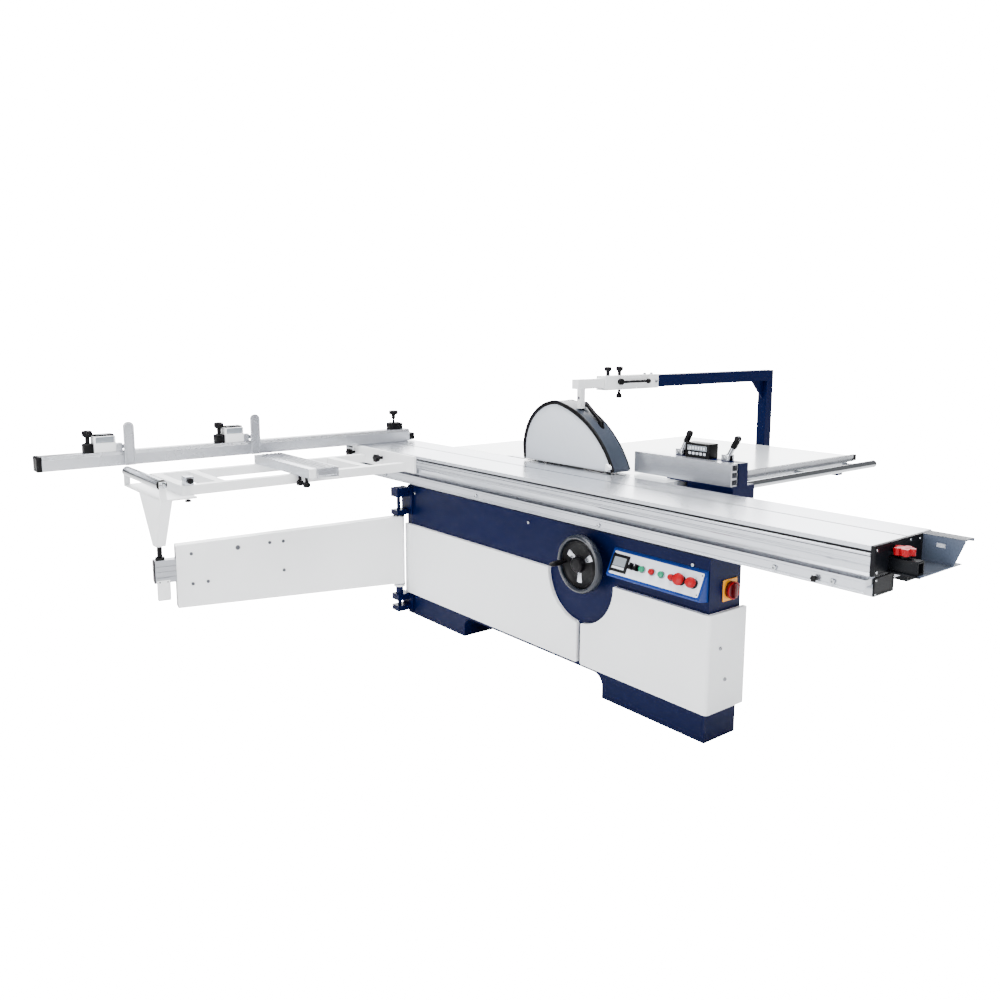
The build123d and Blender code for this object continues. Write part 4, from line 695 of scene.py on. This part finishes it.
# ------------------------------------------------------------------ sliding table
@dataclass
class SlidingTable(Assembly):
    """The long alloy table on its rail, with end cap, tray and red lock."""

    def build(self) -> None:
        """Dress the extrusions and add caps, screws and the lock's handle."""
        self.dress(ALLOY, "sliding_table", "fixed_rail")
        self.dress(STEEL, "roller_carriage")
        self.dress(SLATE, "end_tray")
        low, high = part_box("sliding_table")
        rail_low, rail_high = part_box("fixed_rail")
        end, front, top = high[0], low[1], high[2]
        Bench.block("table_end_cap", SATIN_BLACK_AND_SHADE, "table",
                    (end - 0.0004, front - 0.0004, 0.7795),
                    (end + 0.0136, front + 0.2945, top + 0.0004), 0.0012, 0.006, 0.0008, NEAR)
        for count, (y, z) in enumerate(((front + 0.014, 0.862), (front + 0.016, 0.792),
                                        (front + 0.275, 0.862), (front + 0.215, 0.866))):
            bolt_head(f"cap_screw_{count}", "table", (end + 0.0125, y, z), Axis3.X, 0.005,
                      0.003, CHROME)
        Bench.blocks("table",
            ("table_far_cap", SATIN_BLACK_AND_SHADE, (low[0] - 0.006, front + 0.001, 0.7795),
             (low[0] - 0.0002, front + 0.252, top - 0.0005), 0.0012, 0.006, 0.0015, FAR),
            # painted shade: a black strip laid in the table's side groove so that the groove
            # reads dark
            ("groove_painted_shade", SATIN_BLACK_AND_SHADE, (low[0] + 0.001, front + 0.0045, 0.8528),
             (end - 0.001, front + 0.0064, 0.8602), 0.0004, 0.001, 0.0002, FRONT),
            ("edge_bead", ALLOY, (low[0], front - 0.0022, 0.8435), (end, front + 0.002, 0.8515),
             0.0018, 0.0005, -0.0002, FRONT),
            ("edge_shadow", DARK_STEEL_AND_SHADE, (low[0], front - 0.0008, 0.8405),
             (end, front + 0.001, 0.8432), 0.0003, 0.0004, -0.0001, FRONT))
        slot = front + 0.215
        # painted shade: a dark sheet laid on the T-slot's floor so that the slot reads dark
        Bench.block("slot_painted_shade", DARK_STEEL_AND_SHADE, "table", (low[0] + 0.001, slot - 0.008, 0.8642),
                    (end - 0.001, slot + 0.008, 0.8655), 0.0003, 0.001, 0.0002)
        Bench.block("skirt_edge", ALLOY, "machine", (rail_low[0], front - 0.0016, 0.7199),
                    (rail_high[0], front + 0.002, 0.7255), 0.0012, 0.0005, -0.0002, FRONT)
        rail_end = rail_high[0]
        Bench.blocks("machine",
            ("rail_end_cap", SATIN_BLACK_AND_SHADE, (rail_end - 0.0004, -0.3455, 0.7045),
             (rail_end + 0.005, -0.2245, 0.7655), 0.0015, 0.006, 0.001, NEAR),
            ("rail_far_cap", SATIN_BLACK_AND_SHADE, (rail_low[0] - 0.005, -0.345, 0.7055),
             (rail_low[0] - 0.0002, -0.225, 0.744), 0.0015, 0.006, 0.001, FAR))
        for count, (y, z) in enumerate(((-0.337, 0.757), (-0.337, 0.712))):
            bolt_head(f"rail_cap_screw_{count}", "machine", (rail_end + 0.0045, y, z), Axis3.X,
                      0.004, 0.0025, CHROME)
        Bench.block("rail_bracket_sleeve", SATIN_BLACK_AND_SHADE, "machine",
                    (rail_end - 0.041, -0.1345, 0.7165), (rail_end + 0.0012, -0.0575, 0.7768),
                    0.0015, 0.006, 0.003, NEAR)
        star_knob("rail_stop_knob", "machine", (1.58, front + 0.0005, 0.736), Axis3.MINUS_Y,
                  0.012, 0.018)
        self.lock()
        self.tray(end)

    def tray(self, end: float) -> None:
        """The black tube, floor lip and underside moulding of the end tray.

        Args:
            end: where the table's extrusion ends.
        """
        Bench.blocks("table",
            ("tray_tube", SATIN_BLACK_AND_SHADE, (end + 0.0125, -0.3008, 0.7862),
             (end + 0.1008, -0.2592, 0.8298), 0.0015, 0.0045, 0.024, NEAR),
            ("tray_lip", SATIN_BLACK_AND_SHADE, (end + 0.002, -0.3085, 0.7815),
             (end + 0.1128, -0.3035, 0.7875), 0.001, 0.001, -0.0003, FRONT),
            ("tray_floor", SLATE_DARK, (end + 0.0122, -0.2575, 0.7859),
             (end + 0.1085, -0.0958, 0.7869), 0.0003, 0.002, 0.0002),
            ("tray_rim", SLATE_DARK, (end + 0.0006, -0.0956, 0.8748),
             (end + 0.1434, -0.0336, 0.8757), 0.0003, 0.002, 0.0002),
            ("tray_moulding", BLACK, (end - 0.02, -0.215, 0.7668), (end + 0.09, -0.12, 0.7828),
             0.007, 0.012, -0.001, UNDER),
            ("slot_backing", FOIL, (end + 0.0535, -0.0915, 0.8375),
             (end + 0.0865, -0.0905, 0.8545), 0.0003, 0.002, -0.0001, FRONT))

    def lock(self) -> None:
        """The red lobed lock knob that stands on the tray's tube."""
        low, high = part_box("lock_handle")
        x, y = (low[0] + high[0]) / 2, (low[1] + high[1]) / 2
        self.dress(RED, "lock_handle")
        Bench.turned("lock_hub", RED, "lock", (x, y, low[2] + 0.0115), Axis3.Z,
                     [(0.02, 0), (0.031, 0.002), (0.0335, 0.006), (0.0335, 0.016),
                      (0.030, 0.021), (0.016, 0.0228), (0.001, 0.0229)], lobes=5, depth=0.34,
                     segments=60)
        Bench.turned("lock_foot", BLACK, "lock", (x, y, low[2] + 0.0005), Axis3.Z,
                     [(0.016, 0), (0.016, 0.008), (0.012, 0.0112), (0.001, 0.0114)],
                     segments=32)


# ------------------------------------------------------------------ fixed tables
@dataclass
class FixedTables(Assembly):
    """The cast table, the extension, the insert and the rip fence's bar and scale."""

    def build(self) -> None:
        """Dress the tables and add the bar's and the scale's ends."""
        self.dress(IRON, "cast_table", "extension_table")
        self.dress(ALLOY, "table_insert")
        self.dress(CHROME, "guide_bar")
        self.dress(ALLOY_CROSS, "scale_rail")
        _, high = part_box("guide_bar")
        x = high[0] - 0.019
        Bench.turned("bar_end", BLACK, "machine", (x, high[1] - 0.010, 0.822), Axis3.Y,
                     [(0.0195, 0), (0.0195, 0.004), (0.0175, 0.0095), (0.010, 0.0115),
                      (0.001, 0.012)], segments=40)
        scale_low, scale_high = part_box("scale_rail")
        Bench.blocks("machine",
            ("scale_end", BLACK,
             (scale_low[0] - 0.0005, scale_high[1] + 0.0001, scale_low[2] + 0.002),
             (scale_high[0] + 0.0005, scale_high[1] + 0.03, scale_high[2] + 0.0003), 0.002,
             0.003, 0.001, BACK),
            ("scale_tape", SATIN_BLACK_AND_SHADE,
             (scale_low[0] + 0.003, scale_low[1] + 0.004, scale_high[2] - 0.001),
             (scale_high[0] - 0.003, scale_high[1] - 0.004, scale_high[2] + 0.0005), 0.0002,
             0.001, 0.0001))


# ------------------------------------------------------------------ overhead guard
@dataclass
class Guard(Assembly):
    """The blue post and arm, the white sleeve with its knobs, and the blade's hood."""

    arm_x: float = 0.087
    arm_top: float = 1.304
    arm_foot: float = 1.236
    hood_foot: float = 0.883
    hood_top: float = 1.186

    def build(self) -> None:
        """Dress the arm and build the hood's shell trim, handle and knobs."""
        self.dress(NAVY, "guard_post")
        self.dress(WHITE, "guard_sleeve", "guard_tube", "guard_hanger")
        self.dress(BLACK, "guard_lever")
        self.dress(HOOD_SHELL, "guard_hood")
        for count, y in enumerate((0.19, 0.27)):
            star_knob(f"sleeve_knob_{count}", "machine", (self.arm_x, y, self.arm_top),
                      Axis3.Z, 0.021, 0.043, lobes=4)
        star_knob("sleeve_low_knob", "machine", (self.arm_x, 0.27, self.arm_foot),
                  Axis3.MINUS_Z, 0.017, 0.042, lobes=4)
        for count, y in enumerate((0.45, 0.5)):
            bolt_head(f"sleeve_bolt_{count}", "machine", (0.119, y, 1.27), Axis3.X, 0.008, 0.006)
            bolt_head(f"sleeve_bolt_top_{count}", "machine", (self.arm_x, y, self.arm_top),
                      Axis3.Z, 0.007, 0.008)
        self.hood()

    @staticmethod
    def profile(inset: float) -> list[Point2]:
        """The hood's side outline, drawn inside its edge.

        Args:
            inset: how far inside.

        Returns:
            Its corners as (x, z), anticlockwise from the near foot.
        """
        foot, top = Guard.hood_foot, Guard.hood_top
        start, tail = Vector((-0.275, foot + 0.07)), Vector((0.345, foot + 0.012))
        apex = Vector((-0.04, top))
        curve: list[Vector] = [Vector((0.345, foot)), tail]
        rising = ((0.172, top - 0.084), (-0.205, top - 0.072))
        for begin, through, end in ((tail, Vector(rising[0]), apex),
                                    (apex, Vector(rising[1]), start)):
            middle = Guard.arc_middle(begin, through, end)
            first, last = begin - middle, end - middle
            sweep = first.angle_signed(last)
            for step in range(1, 13):
                turned = Matrix.Rotation(-sweep * step / 12, 2) @ first
                curve.append(middle + turned)
        curve.append(Vector((-0.275, foot)))
        centre = Vector((0.02, foot + 0.10))
        inner = []
        for point in curve:
            way = point - centre
            moved = point - way.normalized() * inset if inset else point
            if point.y < foot + 0.001 and inset:
                moved = Vector((point.x - math.copysign(inset, point.x), foot + 0.001))
            inner.append((moved.x, moved.y))
        return inner

    @staticmethod
    def arc_middle(a: Vector, b: Vector, c: Vector) -> Vector:
        """The centre of the circle through three points.

        Args:
            a: the first point.
            b: the second.
            c: the third.

        Returns:
            The centre.
        """
        d = 2 * (a.x * (b.y - c.y) + b.x * (c.y - a.y) + c.x * (a.y - b.y))
        aa, bb, cc = a.length_squared, b.length_squared, c.length_squared
        return Vector(((aa * (b.y - c.y) + bb * (c.y - a.y) + cc * (a.y - b.y)) / d,
                       (aa * (c.x - b.x) + bb * (a.x - c.x) + cc * (b.x - a.x)) / d))

    def hood(self) -> None:
        """The pale side panel, the black rims, the handle and the clamping screws."""
        upright = plane_at((0, 0, 0), NEAR, UP)
        outer, within = self.profile(-0.0035), self.profile(0.017)
        Bench.plate("hood_rim_front", BLACK, "guard", outer, 0.0085,
                    Matrix.Translation((0, -0.0225, 0)) @ upright, 0.0025, window=within)
        Bench.plate("hood_rim_back", BLACK, "guard", self.profile(-0.002), 0.008,
                    Matrix.Translation((0, 0.0835, 0)) @ upright, 0.002,
                    window=self.profile(0.02))
        Bench.plate("hood_panel", PALE_SLATE, "guard", self.profile(0.0165), 0.0015,
                    Matrix.Translation((0, -0.0252, 0)) @ upright, 0.0004)
        top = self.hood_top
        outline = [(0.055, top - 0.042), (0.070, top + 0.001), (0.102, top + 0.001),
                   (0.209, top - 0.085), (0.219, top - 0.140)]
        window = [(0.087, top - 0.031), (0.089, top - 0.019), (0.101, top - 0.019),
                  (0.185, top - 0.087), (0.187, top - 0.103)]
        outline.reverse()
        window.reverse()
        handle = plane_at((0, 0.0455, 0), NEAR, UP)
        Bench.plate("hood_handle", BLACK, "guard", outline, 0.017, handle, 0.0035, window=window)
        Bench.turned("hood_screw", WHITE, "guard", (0.325, -0.031, 0.906), Axis3.MINUS_Y,
                     [(0.012, 0), (0.012, 0.004), (0.019, 0.006), (0.019, 0.014),
                      (0.015, 0.018), (0.001, 0.0185)], lobes=3, depth=0.35, segments=48)
        bolt_head("hood_hanger_bolt", "guard", (0.087, -0.0002, 1.205), Axis3.MINUS_Y, 0.007)


# ------------------------------------------------------------------ rip fence
@dataclass
class RipFence(Assembly):
    """The rip fence: its extrusion, blue head, counter and two clamping levers."""

    def build(self) -> None:
        """Dress the fence and build the counter and the levers' grips."""
        self.dress(ALLOY, "rip_fence")
        self.dress(NAVY, "rip_fence_head")
        self.dress(STEEL, "rip_lever_a", "rip_lever_b")
        _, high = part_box("rip_fence")
        y, z = 0.1593, 0.9903
        Bench.blocks("rip_head",
            ("counter_case", BLACK, (0.620, high[1] - 0.0022, high[2] + 0.0005),
             (0.747, high[1] + 0.061, high[2] + 0.0635), 0.003, 0.008, 0.0008, FRONT),
            ("counter_window", SCREEN, (0.632, high[1] - 0.0032, high[2] + 0.031),
             (0.735, high[1] + 0.003, high[2] + 0.053), 0.001, 0.0012, 0.0005, FRONT))
        for count in range(6):
            x = 0.645 + 0.0145 * count
            Bench.block(f"counter_digit_{count}", FOIL, "rip_head",
                        (x, high[1] - 0.0034, high[2] + 0.036),
                        (x + 0.008, high[1] - 0.001, high[2] + 0.048), 0.0005, 0.001, 0.0001,
                        FRONT)
        for count in range(5):
            x = 0.639 + 0.0195 * count
            Bench.block(f"counter_key_{count}", PALE_SLATE, "rip_head",
                        (x, high[1] - 0.0036, high[2] + 0.013),
                        (x + 0.013, high[1] + 0.003, high[2] + 0.024), 0.0015, 0.001, -0.0005,
                        FRONT)
        for letter, x, reach in (("a", 0.575, 0.042), ("b", 0.819, 0.048)):
            lean = Vector((reach, 0, 0.084)).normalized()
            turn = Vector((0, 0, 1)).rotation_difference(lean).to_matrix().to_4x4()
            foot = Vector((x, y, z)) + lean * 0.052
            Bench.turned(f"lever_grip_{letter}", BLACK, f"lever_{letter}", tuple(foot), turn,
                         [(0.0125, 0), (0.0138, 0.006), (0.0135, 0.03), (0.0145, 0.044),
                          (0.011, 0.054), (0.001, 0.057)], segments=36)
            Bench.turned(f"lever_stem_{letter}", CHROME, f"lever_{letter}",
                         tuple(Vector((x, y, z))), turn,
                         [(0.009, 0), (0.0085, 0.02), (0.009, 0.056), (0.001, 0.057)],
                         segments=32)
            for side, low_y in (("front", 0.1395), ("back", 0.1683)):
                Bench.block(f"lever_cheek_{letter}_{side}", ALLOY_CROSS, "rip_head",
                            (x - 0.0188, low_y, high[2] + 0.0002),
                            (x + 0.0188, low_y + 0.0108, high[2] + 0.0275), 0.003, 0.005,
                            -0.0006, (0, -1 if side == "front" else 1, 0))
            for side in (-1, 1):
                bolt_head(f"lever_pin_{letter}_{'front' if side < 0 else 'back'}", "rip_head",
                          (x, y + side * 0.0196, z), Axis3.MINUS_Y if side < 0 else Axis3.Y,
                          0.007, 0.004)


# ------------------------------------------------------------------ crosscut outrigger
@dataclass
class Outrigger(Assembly):
    """The white frame beside the table, with its roller, support bar, leg and knobs."""

    def build(self) -> None:
        """Dress the frame and add the knobs and caps."""
        self.dress(WHITE, "crosscut_frame", "outrigger_leg")
        self.dress(CHROME, "outrigger_roller")
        self.dress(ALLOY, "support_profile")
        self.dress(BLACK, "clamp_knobs")
        low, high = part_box("outrigger_roller")
        y = (low[1] + high[1]) / 2
        z = (low[2] + high[2]) / 2
        for name, x, way in (("near", high[0] - 0.0165, Axis3.X),
                             ("far", low[0] + 0.0165, Axis3.MINUS_X)):
            Bench.turned(f"roller_cap_{name}", BLACK, "roller", (x, y, z), way,
                         [(0.0235, 0), (0.0235, 0.0015), (0.020, 0.003), (0.0102, 0.003),
                          (0.0098, 0.0033), (0.001, 0.0033)], segments=36)
        for count, x in enumerate((-1.323, -1.024)):
            star_knob(f"bracket_knob_{count}", "table", (x, -0.418, 0.833), Axis3.MINUS_Y,
                      0.0235, 0.036)
        for count, x in enumerate((-0.775, -0.705)):
            star_knob(f"support_knob_{count}", "table", (x, -1.02, 0.829), Axis3.MINUS_Z,
                      0.0175, 0.052)
        for count, x in enumerate((-1.25, -0.8)):
            star_knob(f"corner_knob_{count}", "table", (x, -1.56, 0.777), Axis3.MINUS_Z,
                      0.015, 0.022)
        Bench.block("corner_block", ALLOY, "table", (-0.842, -1.572, 0.8302),
                    (-0.796, -1.53, 0.8705), 0.002, 0.006, 0.001, NEAR)
        Bench.turned("corner_block_knob", BLACK, "table", (-0.7965, -1.551, 0.852), Axis3.X,
                     [(0.006, 0), (0.006, 0.006), (0.0135, 0.008), (0.0135, 0.017),
                      (0.011, 0.020), (0.001, 0.0203)], segments=32)
        Bench.blocks("table",
            ("support_end", WHITE, (-0.6405, -1.0385, 0.8305), (-0.637, -1.0005, 0.8745), 0.0008,
             0.005, 0.001, NEAR),
            ("support_cap", ALLOY_CROSS, (-0.6345, -0.9992, 0.8305), (-0.6316, -0.8858, 0.8745),
             0.001, 0.008, 0.0012, NEAR))
        for name, x, way in (("near", -0.7512, Axis3.X), ("far", -1.2838, Axis3.MINUS_X)):
            Bench.turned(f"roller_bearing_{name}", CHROME, "table", (x, y, z), way,
                         [(0.0145, 0), (0.0145, 0.005), (0.012, 0.0065), (0.0085, 0.0065),
                          (0.0085, 0.0025), (0.0045, 0.0025), (0.004, 0.006), (0.0005, 0.006)],
                         segments=36)
        for count in range(5):
            y_rib = -0.9965 + 0.0225 * count
            Bench.block(f"support_rib_{count}", ALLOY_DARK, "table", (-1.263, y_rib, 0.8735),
                        (-0.6335, y_rib + 0.0125, 0.8768), 0.0008, 0.002, 0.0006)
        leg_low, leg_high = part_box("outrigger_leg")
        Bench.turned("leg_ferrule", ALLOY_DARK, "table",
                     (-1.075, (leg_low[1] + leg_high[1]) / 2, leg_low[2] + 0.008),
                     Axis3.MINUS_Z, [(0.027, 0), (0.026, 0.006), (0.019, 0.0095), (0.002, 0.01)],
                     segments=4)


@dataclass
class CrosscutFence(Assembly):
    """The crosscut fence with its extension, its two flip stops and its clamp."""

    middle: float = -1.304
    top: float = 0.948

    def build(self) -> None:
        """Dress the fence and build each stop."""
        self.dress(ALLOY_CROSS, "crosscut_fence", "fence_extension")
        low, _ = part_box("fence_extension")
        Bench.block("fence_end_cap", BLACK, "extension", (-1.3455, low[1] - 0.003, 0.8785),
                    (-1.2625, low[1] + 0.020, 0.9495), 0.003, 0.008, 0.001, FRONT)
        Bench.block("fence_tape", SATIN_BLACK_AND_SHADE, "table", (-1.2865, -1.85, 0.9475),
                    (-1.2765, -0.2, 0.9484), 0.0002, 0.0015, 0.0001)
        for letter, y in (("a", -1.672), ("b", -1.032)):
            self.stop(letter, y)
        Bench.block("fence_clamp_base", BLACK, "table", (self.middle - 0.031, -0.182, self.top),
                    (self.middle + 0.031, -0.107, self.top + 0.039), 0.005, 0.006, -0.003)
        star_knob("fence_clamp_knob", "table", (self.middle, -0.151, self.top + 0.064),
                  Axis3.Z, 0.0265, 0.047)

    def stop(self, letter: str, y: float) -> None:
        """One flip stop: knob, base, readout, link and arched flap.

        Args:
            letter: which stop.
            y: the middle of its flap.
        """
        body = f"stop_{letter}"
        base = Bench.block(f"{body}_base", BLACK, body,
                           (self.middle - 0.027, y - 0.198, self.top + 0.0003),
                           (self.middle + 0.027, y - 0.156, self.top + 0.043), 0.004, 0.006,
                           -0.004)
        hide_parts(body)
        star_knob(f"{body}_knob", body, (self.middle, y - 0.176, self.top + 0.044), Axis3.Z,
                  0.0245, 0.062)
        Bench.blocks(body,
            (f"{body}_housing", WHITE, (self.middle - 0.033, y - 0.155, self.top + 0.0006),
             (self.middle + 0.033, y - 0.056, self.top + 0.077), 0.003, 0.008, 0.002),
            (f"{body}_bezel", BLACK, (self.middle - 0.026, y - 0.150, self.top + 0.073),
             (self.middle + 0.029, y - 0.061, self.top + 0.0855), 0.003, 0.008, 0.003),
            (f"{body}_window", SCREEN, (self.middle + 0.0315, y - 0.147, self.top + 0.046),
             (self.middle + 0.0342, y - 0.064, self.top + 0.0745), 0.001, 0.004, 0.0006, NEAR),
            (f"{body}_readout", FOIL, (self.middle - 0.016, y - 0.138, self.top + 0.0815),
             (self.middle + 0.019, y - 0.073, self.top + 0.0833), 0.0005, 0.003, 0.0003),
            (f"{body}_link", ALLOY_CROSS, (self.middle - 0.004, y - 0.056, self.top + 0.0006),
             (self.middle + 0.028, y - 0.0245, self.top + 0.04), 0.003, 0.004, -0.002, NEAR))
        self.dress(ALLOY_CROSS, f"{body}_flap")
        rim = []
        for step in range(9):
            angle = math.radians(180 - 22.5 * step)
            rim.append((0.0245 * math.cos(angle), 0.1845 + 0.0245 * math.sin(angle)))
        outline = [(-0.0245, 0.0), *rim, (0.0245, 0.0)]
        inner = [(u * 0.72, 0.012 + v * 0.9) for u, v in outline]
        outline.reverse()
        inner.reverse()
        place = plane_at((-1.2508, y, 0.8805), (0, 1, 0), (0, 0, 1))
        Bench.plate(f"{body}_flap_rib", ALLOY_CROSS, f"flap_{letter}", outline, 0.0035, place,
                    0.001, window=inner)


# ------------------------------------------------------------------ swing arm
@dataclass
class SwingArm(Assembly):
    """The white telescopic arm that follows the outrigger, on its blue hinge."""

    hinge: Point2 = (-0.845, -0.415)
    tip: Point2 = (-1.075, -1.613)

    def build(self) -> None:
        """Dress the arm and add its bolts, the beam's cap and the height screw."""
        self.dress(WHITE, "swing_arm")
        self.dress(ALLOY_DARK, "inner_beam")
        way = (Vector((*self.tip, 0)) - Vector((*self.hinge, 0))).normalized()
        side = Vector((-way.y, way.x, 0))
        if side.x < 0:
            side.negate()
        face = Vector((0, 0, 1)).rotation_difference(side).to_matrix().to_4x4()
        bolts = ((1.08, 0.460, 0.008), (0.859, 0.467, 0.0115), (0.702, 0.475, 0.008),
                 (0.634, 0.475, 0.008), (0.634, 0.326, 0.008), (1.078, 0.312, 0.008),
                 (1.007, 0.315, 0.008))
        root = Vector((*self.hinge, 0))
        for count, (along, z, radius) in enumerate(bolts):
            spot = root + way * along + side * 0.0299 + Vector((0, 0, z))
            bolt_head(f"arm_bolt_{count}", "arm", tuple(spot), face, radius, 0.005, DARK_STEEL_AND_SHADE)
        reach = (Vector((*self.tip, 0)) - root).length
        turn = Matrix((way, side, Vector((0, 0, 1)))).transposed().to_4x4()
        turn.translation = root
        end = reach + 0.026
        Bench.blocks("beam",
            ("beam_cap", BLACK, (end + 0.0001, -0.024, 0.329), (end + 0.006, 0.024, 0.441),
             0.002, 0.006, 0.001, tuple(way), turn),
            ("beam_tab", WHITE, (reach - 0.040, 0.0232, 0.249), (reach + 0.022, 0.0285, 0.344),
             0.002, 0.022, -0.0006, BACK, turn))
        for count, along in enumerate((-0.028, 0.008)):
            bolt_head(f"tab_screw_{count}", "beam",
                      tuple(root + way * (reach + along) + side * 0.0275 + Vector((0, 0, 0.335))),
                      face, 0.0035, 0.002, BLACK)
        Bench.turned("height_screw", BLACK, "beam", (*self.tip, 0.4402), Axis3.Z,
                     [(0.021, 0), (0.0225, 0.003), (0.0225, 0.012), (0.0125, 0.016),
                      (0.0125, 0.058), (0.0105, 0.0635), (0.001, 0.0638)], segments=36)
        for count, z in enumerate((0.165, 0.538)):
            Bench.turned(f"arm_washer_{count}", STEEL, "arm", (*self.hinge, z), Axis3.Z,
                         [(0.0305, 0), (0.0312, 0.001), (0.0312, 0.006), (0.0305, 0.007),
                          (0.0301, 0.007)], segments=40)


# ------------------------------------------------------------------ saw unit
@dataclass
class SawUnit(Assembly):
    """The tilting saw unit inside the cabinet."""

    def build(self) -> None:
        """Dress castings, motors, shafts, blades and belt."""
        self.dress(CASTING, "tilt_frame", "arbor_block")
        self.dress(MOTOR, "motors")
        self.dress(STEEL, "motor_pulley", "main_arbor", "main_blade",
                    "scoring_arbor")
        self.dress(RUBBER, "drive_belt")


# ------------------------------------------------------------------ studio
@dataclass
class Studio:
    """A pale floor, soft light and the camera."""

    eye: Point3 = (3.0986, -2.9188, 1.5117)
    back: Point3 = (0.78529, -0.60136, 0.14727)
    lens: float = 31.93
    shift: Point2 = (0.0247, -0.0359)

    def build(self) -> None:
        """Lay the floor, hang the lights and place the camera."""
        Bench.clear_selection()
        bpy.ops.mesh.primitive_plane_add(size=60, location=(0, 0, 0))
        floor = bpy.context.object
        floor.name = "studio_floor"
        paint = Finish("studio_white", "white_paint", (0.93, 0.93, 0.93), (0.92, 0.92, 0.92),
                       rough_low=0.6, rough_high=0.7, grain=20.0, bump=0.0)
        floor.data.materials.append(paint.material())
        self.brighten(floor.active_material.node_tree, "Principled BSDF", 24.0)
        world = bpy.data.worlds.new("studio_sky")
        bpy.context.scene.world = world
        world.use_nodes = True
        sky = world.node_tree.nodes["Background"]
        sky.inputs["Color"].default_value = (0.95, 0.97, 1.0, 1.0)
        sky.inputs["Strength"].default_value = 0.3
        self.brighten(world.node_tree, "Background", 26.0)
        self.lamp("key", (6.5, -2.5, 3.0), 300, 3.0)
        self.lamp("front", (-1.0, -8.5, 2.6), 560, 4.0)
        self.lamp("top", (0.0, 0.0, 6.5), 1500, 5.0)
        self.lamp("sheen", (-10.5, 8.2, 3.4), 8000, 17.0)
        self.camera()

    @staticmethod
    def brighten(tree: bpy.types.NodeTree, shader: str, strength: float) -> None:
        """Show a backdrop near white to the camera without adding light to the machine.

        Args:
            tree: the backdrop's nodes.
            shader: the name of its own shader node.
            strength: how bright the camera sees it.
        """
        nodes, links = tree.nodes, tree.links
        path = nodes.new("ShaderNodeLightPath")
        glow = nodes.new("ShaderNodeEmission")
        glow.inputs["Strength"].default_value = strength
        mix = nodes.new("ShaderNodeMixShader")
        out = next(n for n in nodes if n.bl_idname.startswith("ShaderNodeOutput"))
        share = nodes.new("ShaderNodeMath")
        share.operation = "MULTIPLY"
        share.inputs[1].default_value = 0.9
        links.new(path.outputs["Is Camera Ray"], share.inputs[0])
        links.new(share.outputs["Value"], mix.inputs["Fac"])
        links.new(nodes[shader].outputs[0], mix.inputs[1])
        links.new(glow.outputs[0], mix.inputs[2])
        links.new(mix.outputs[0], out.inputs["Surface"])

    def lamp(self, name: str, at: Point3, power: float, size: float) -> None:
        """A soft square lamp aimed at the machine.

        Args:
            name: its name.
            at: where it hangs.
            power: its watts.
            size: its side.
        """
        bpy.ops.object.light_add(type="AREA", location=at)
        lamp = bpy.context.object
        lamp.name = f"studio_{name}"
        lamp.data.energy = power
        lamp.data.size = size
        lamp.visible_camera = False
        aim = Vector((0.0, -0.3, 0.8)) - Vector(at)
        lamp.rotation_euler = aim.to_track_quat("-Z", "Y").to_euler()

    def camera(self) -> None:
        """The camera at the machine's near left corner."""
        back = Vector(self.back).normalized()
        right = Vector((0, 0, 1)).cross(back).normalized()
        up = back.cross(right)
        data = bpy.data.cameras.new("studio_camera")
        data.lens = self.lens
        data.sensor_width = 36.0
        data.shift_x, data.shift_y = self.shift
        data.clip_end = 200.0
        camera = bpy.data.objects.new("studio_camera", data)
        bpy.context.collection.objects.link(camera)
        turn = Matrix((right, up, back)).transposed().to_4x4()
        turn.translation = self.eye
        camera.matrix_world = turn
        bpy.context.scene.camera = camera


def main() -> None:
    """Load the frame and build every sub-assembly."""
    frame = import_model()
    nodes = frame["nodes"]
    Studio().build()
    for part in (Cabinet, Handwheel, SlidingTable, FixedTables, Guard, RipFence, Outrigger,
                 CrosscutFence, SwingArm, SawUnit):
        log.info("building %s", part.__name__)
        part(nodes).build()


if __name__ == "__main__":
    main()
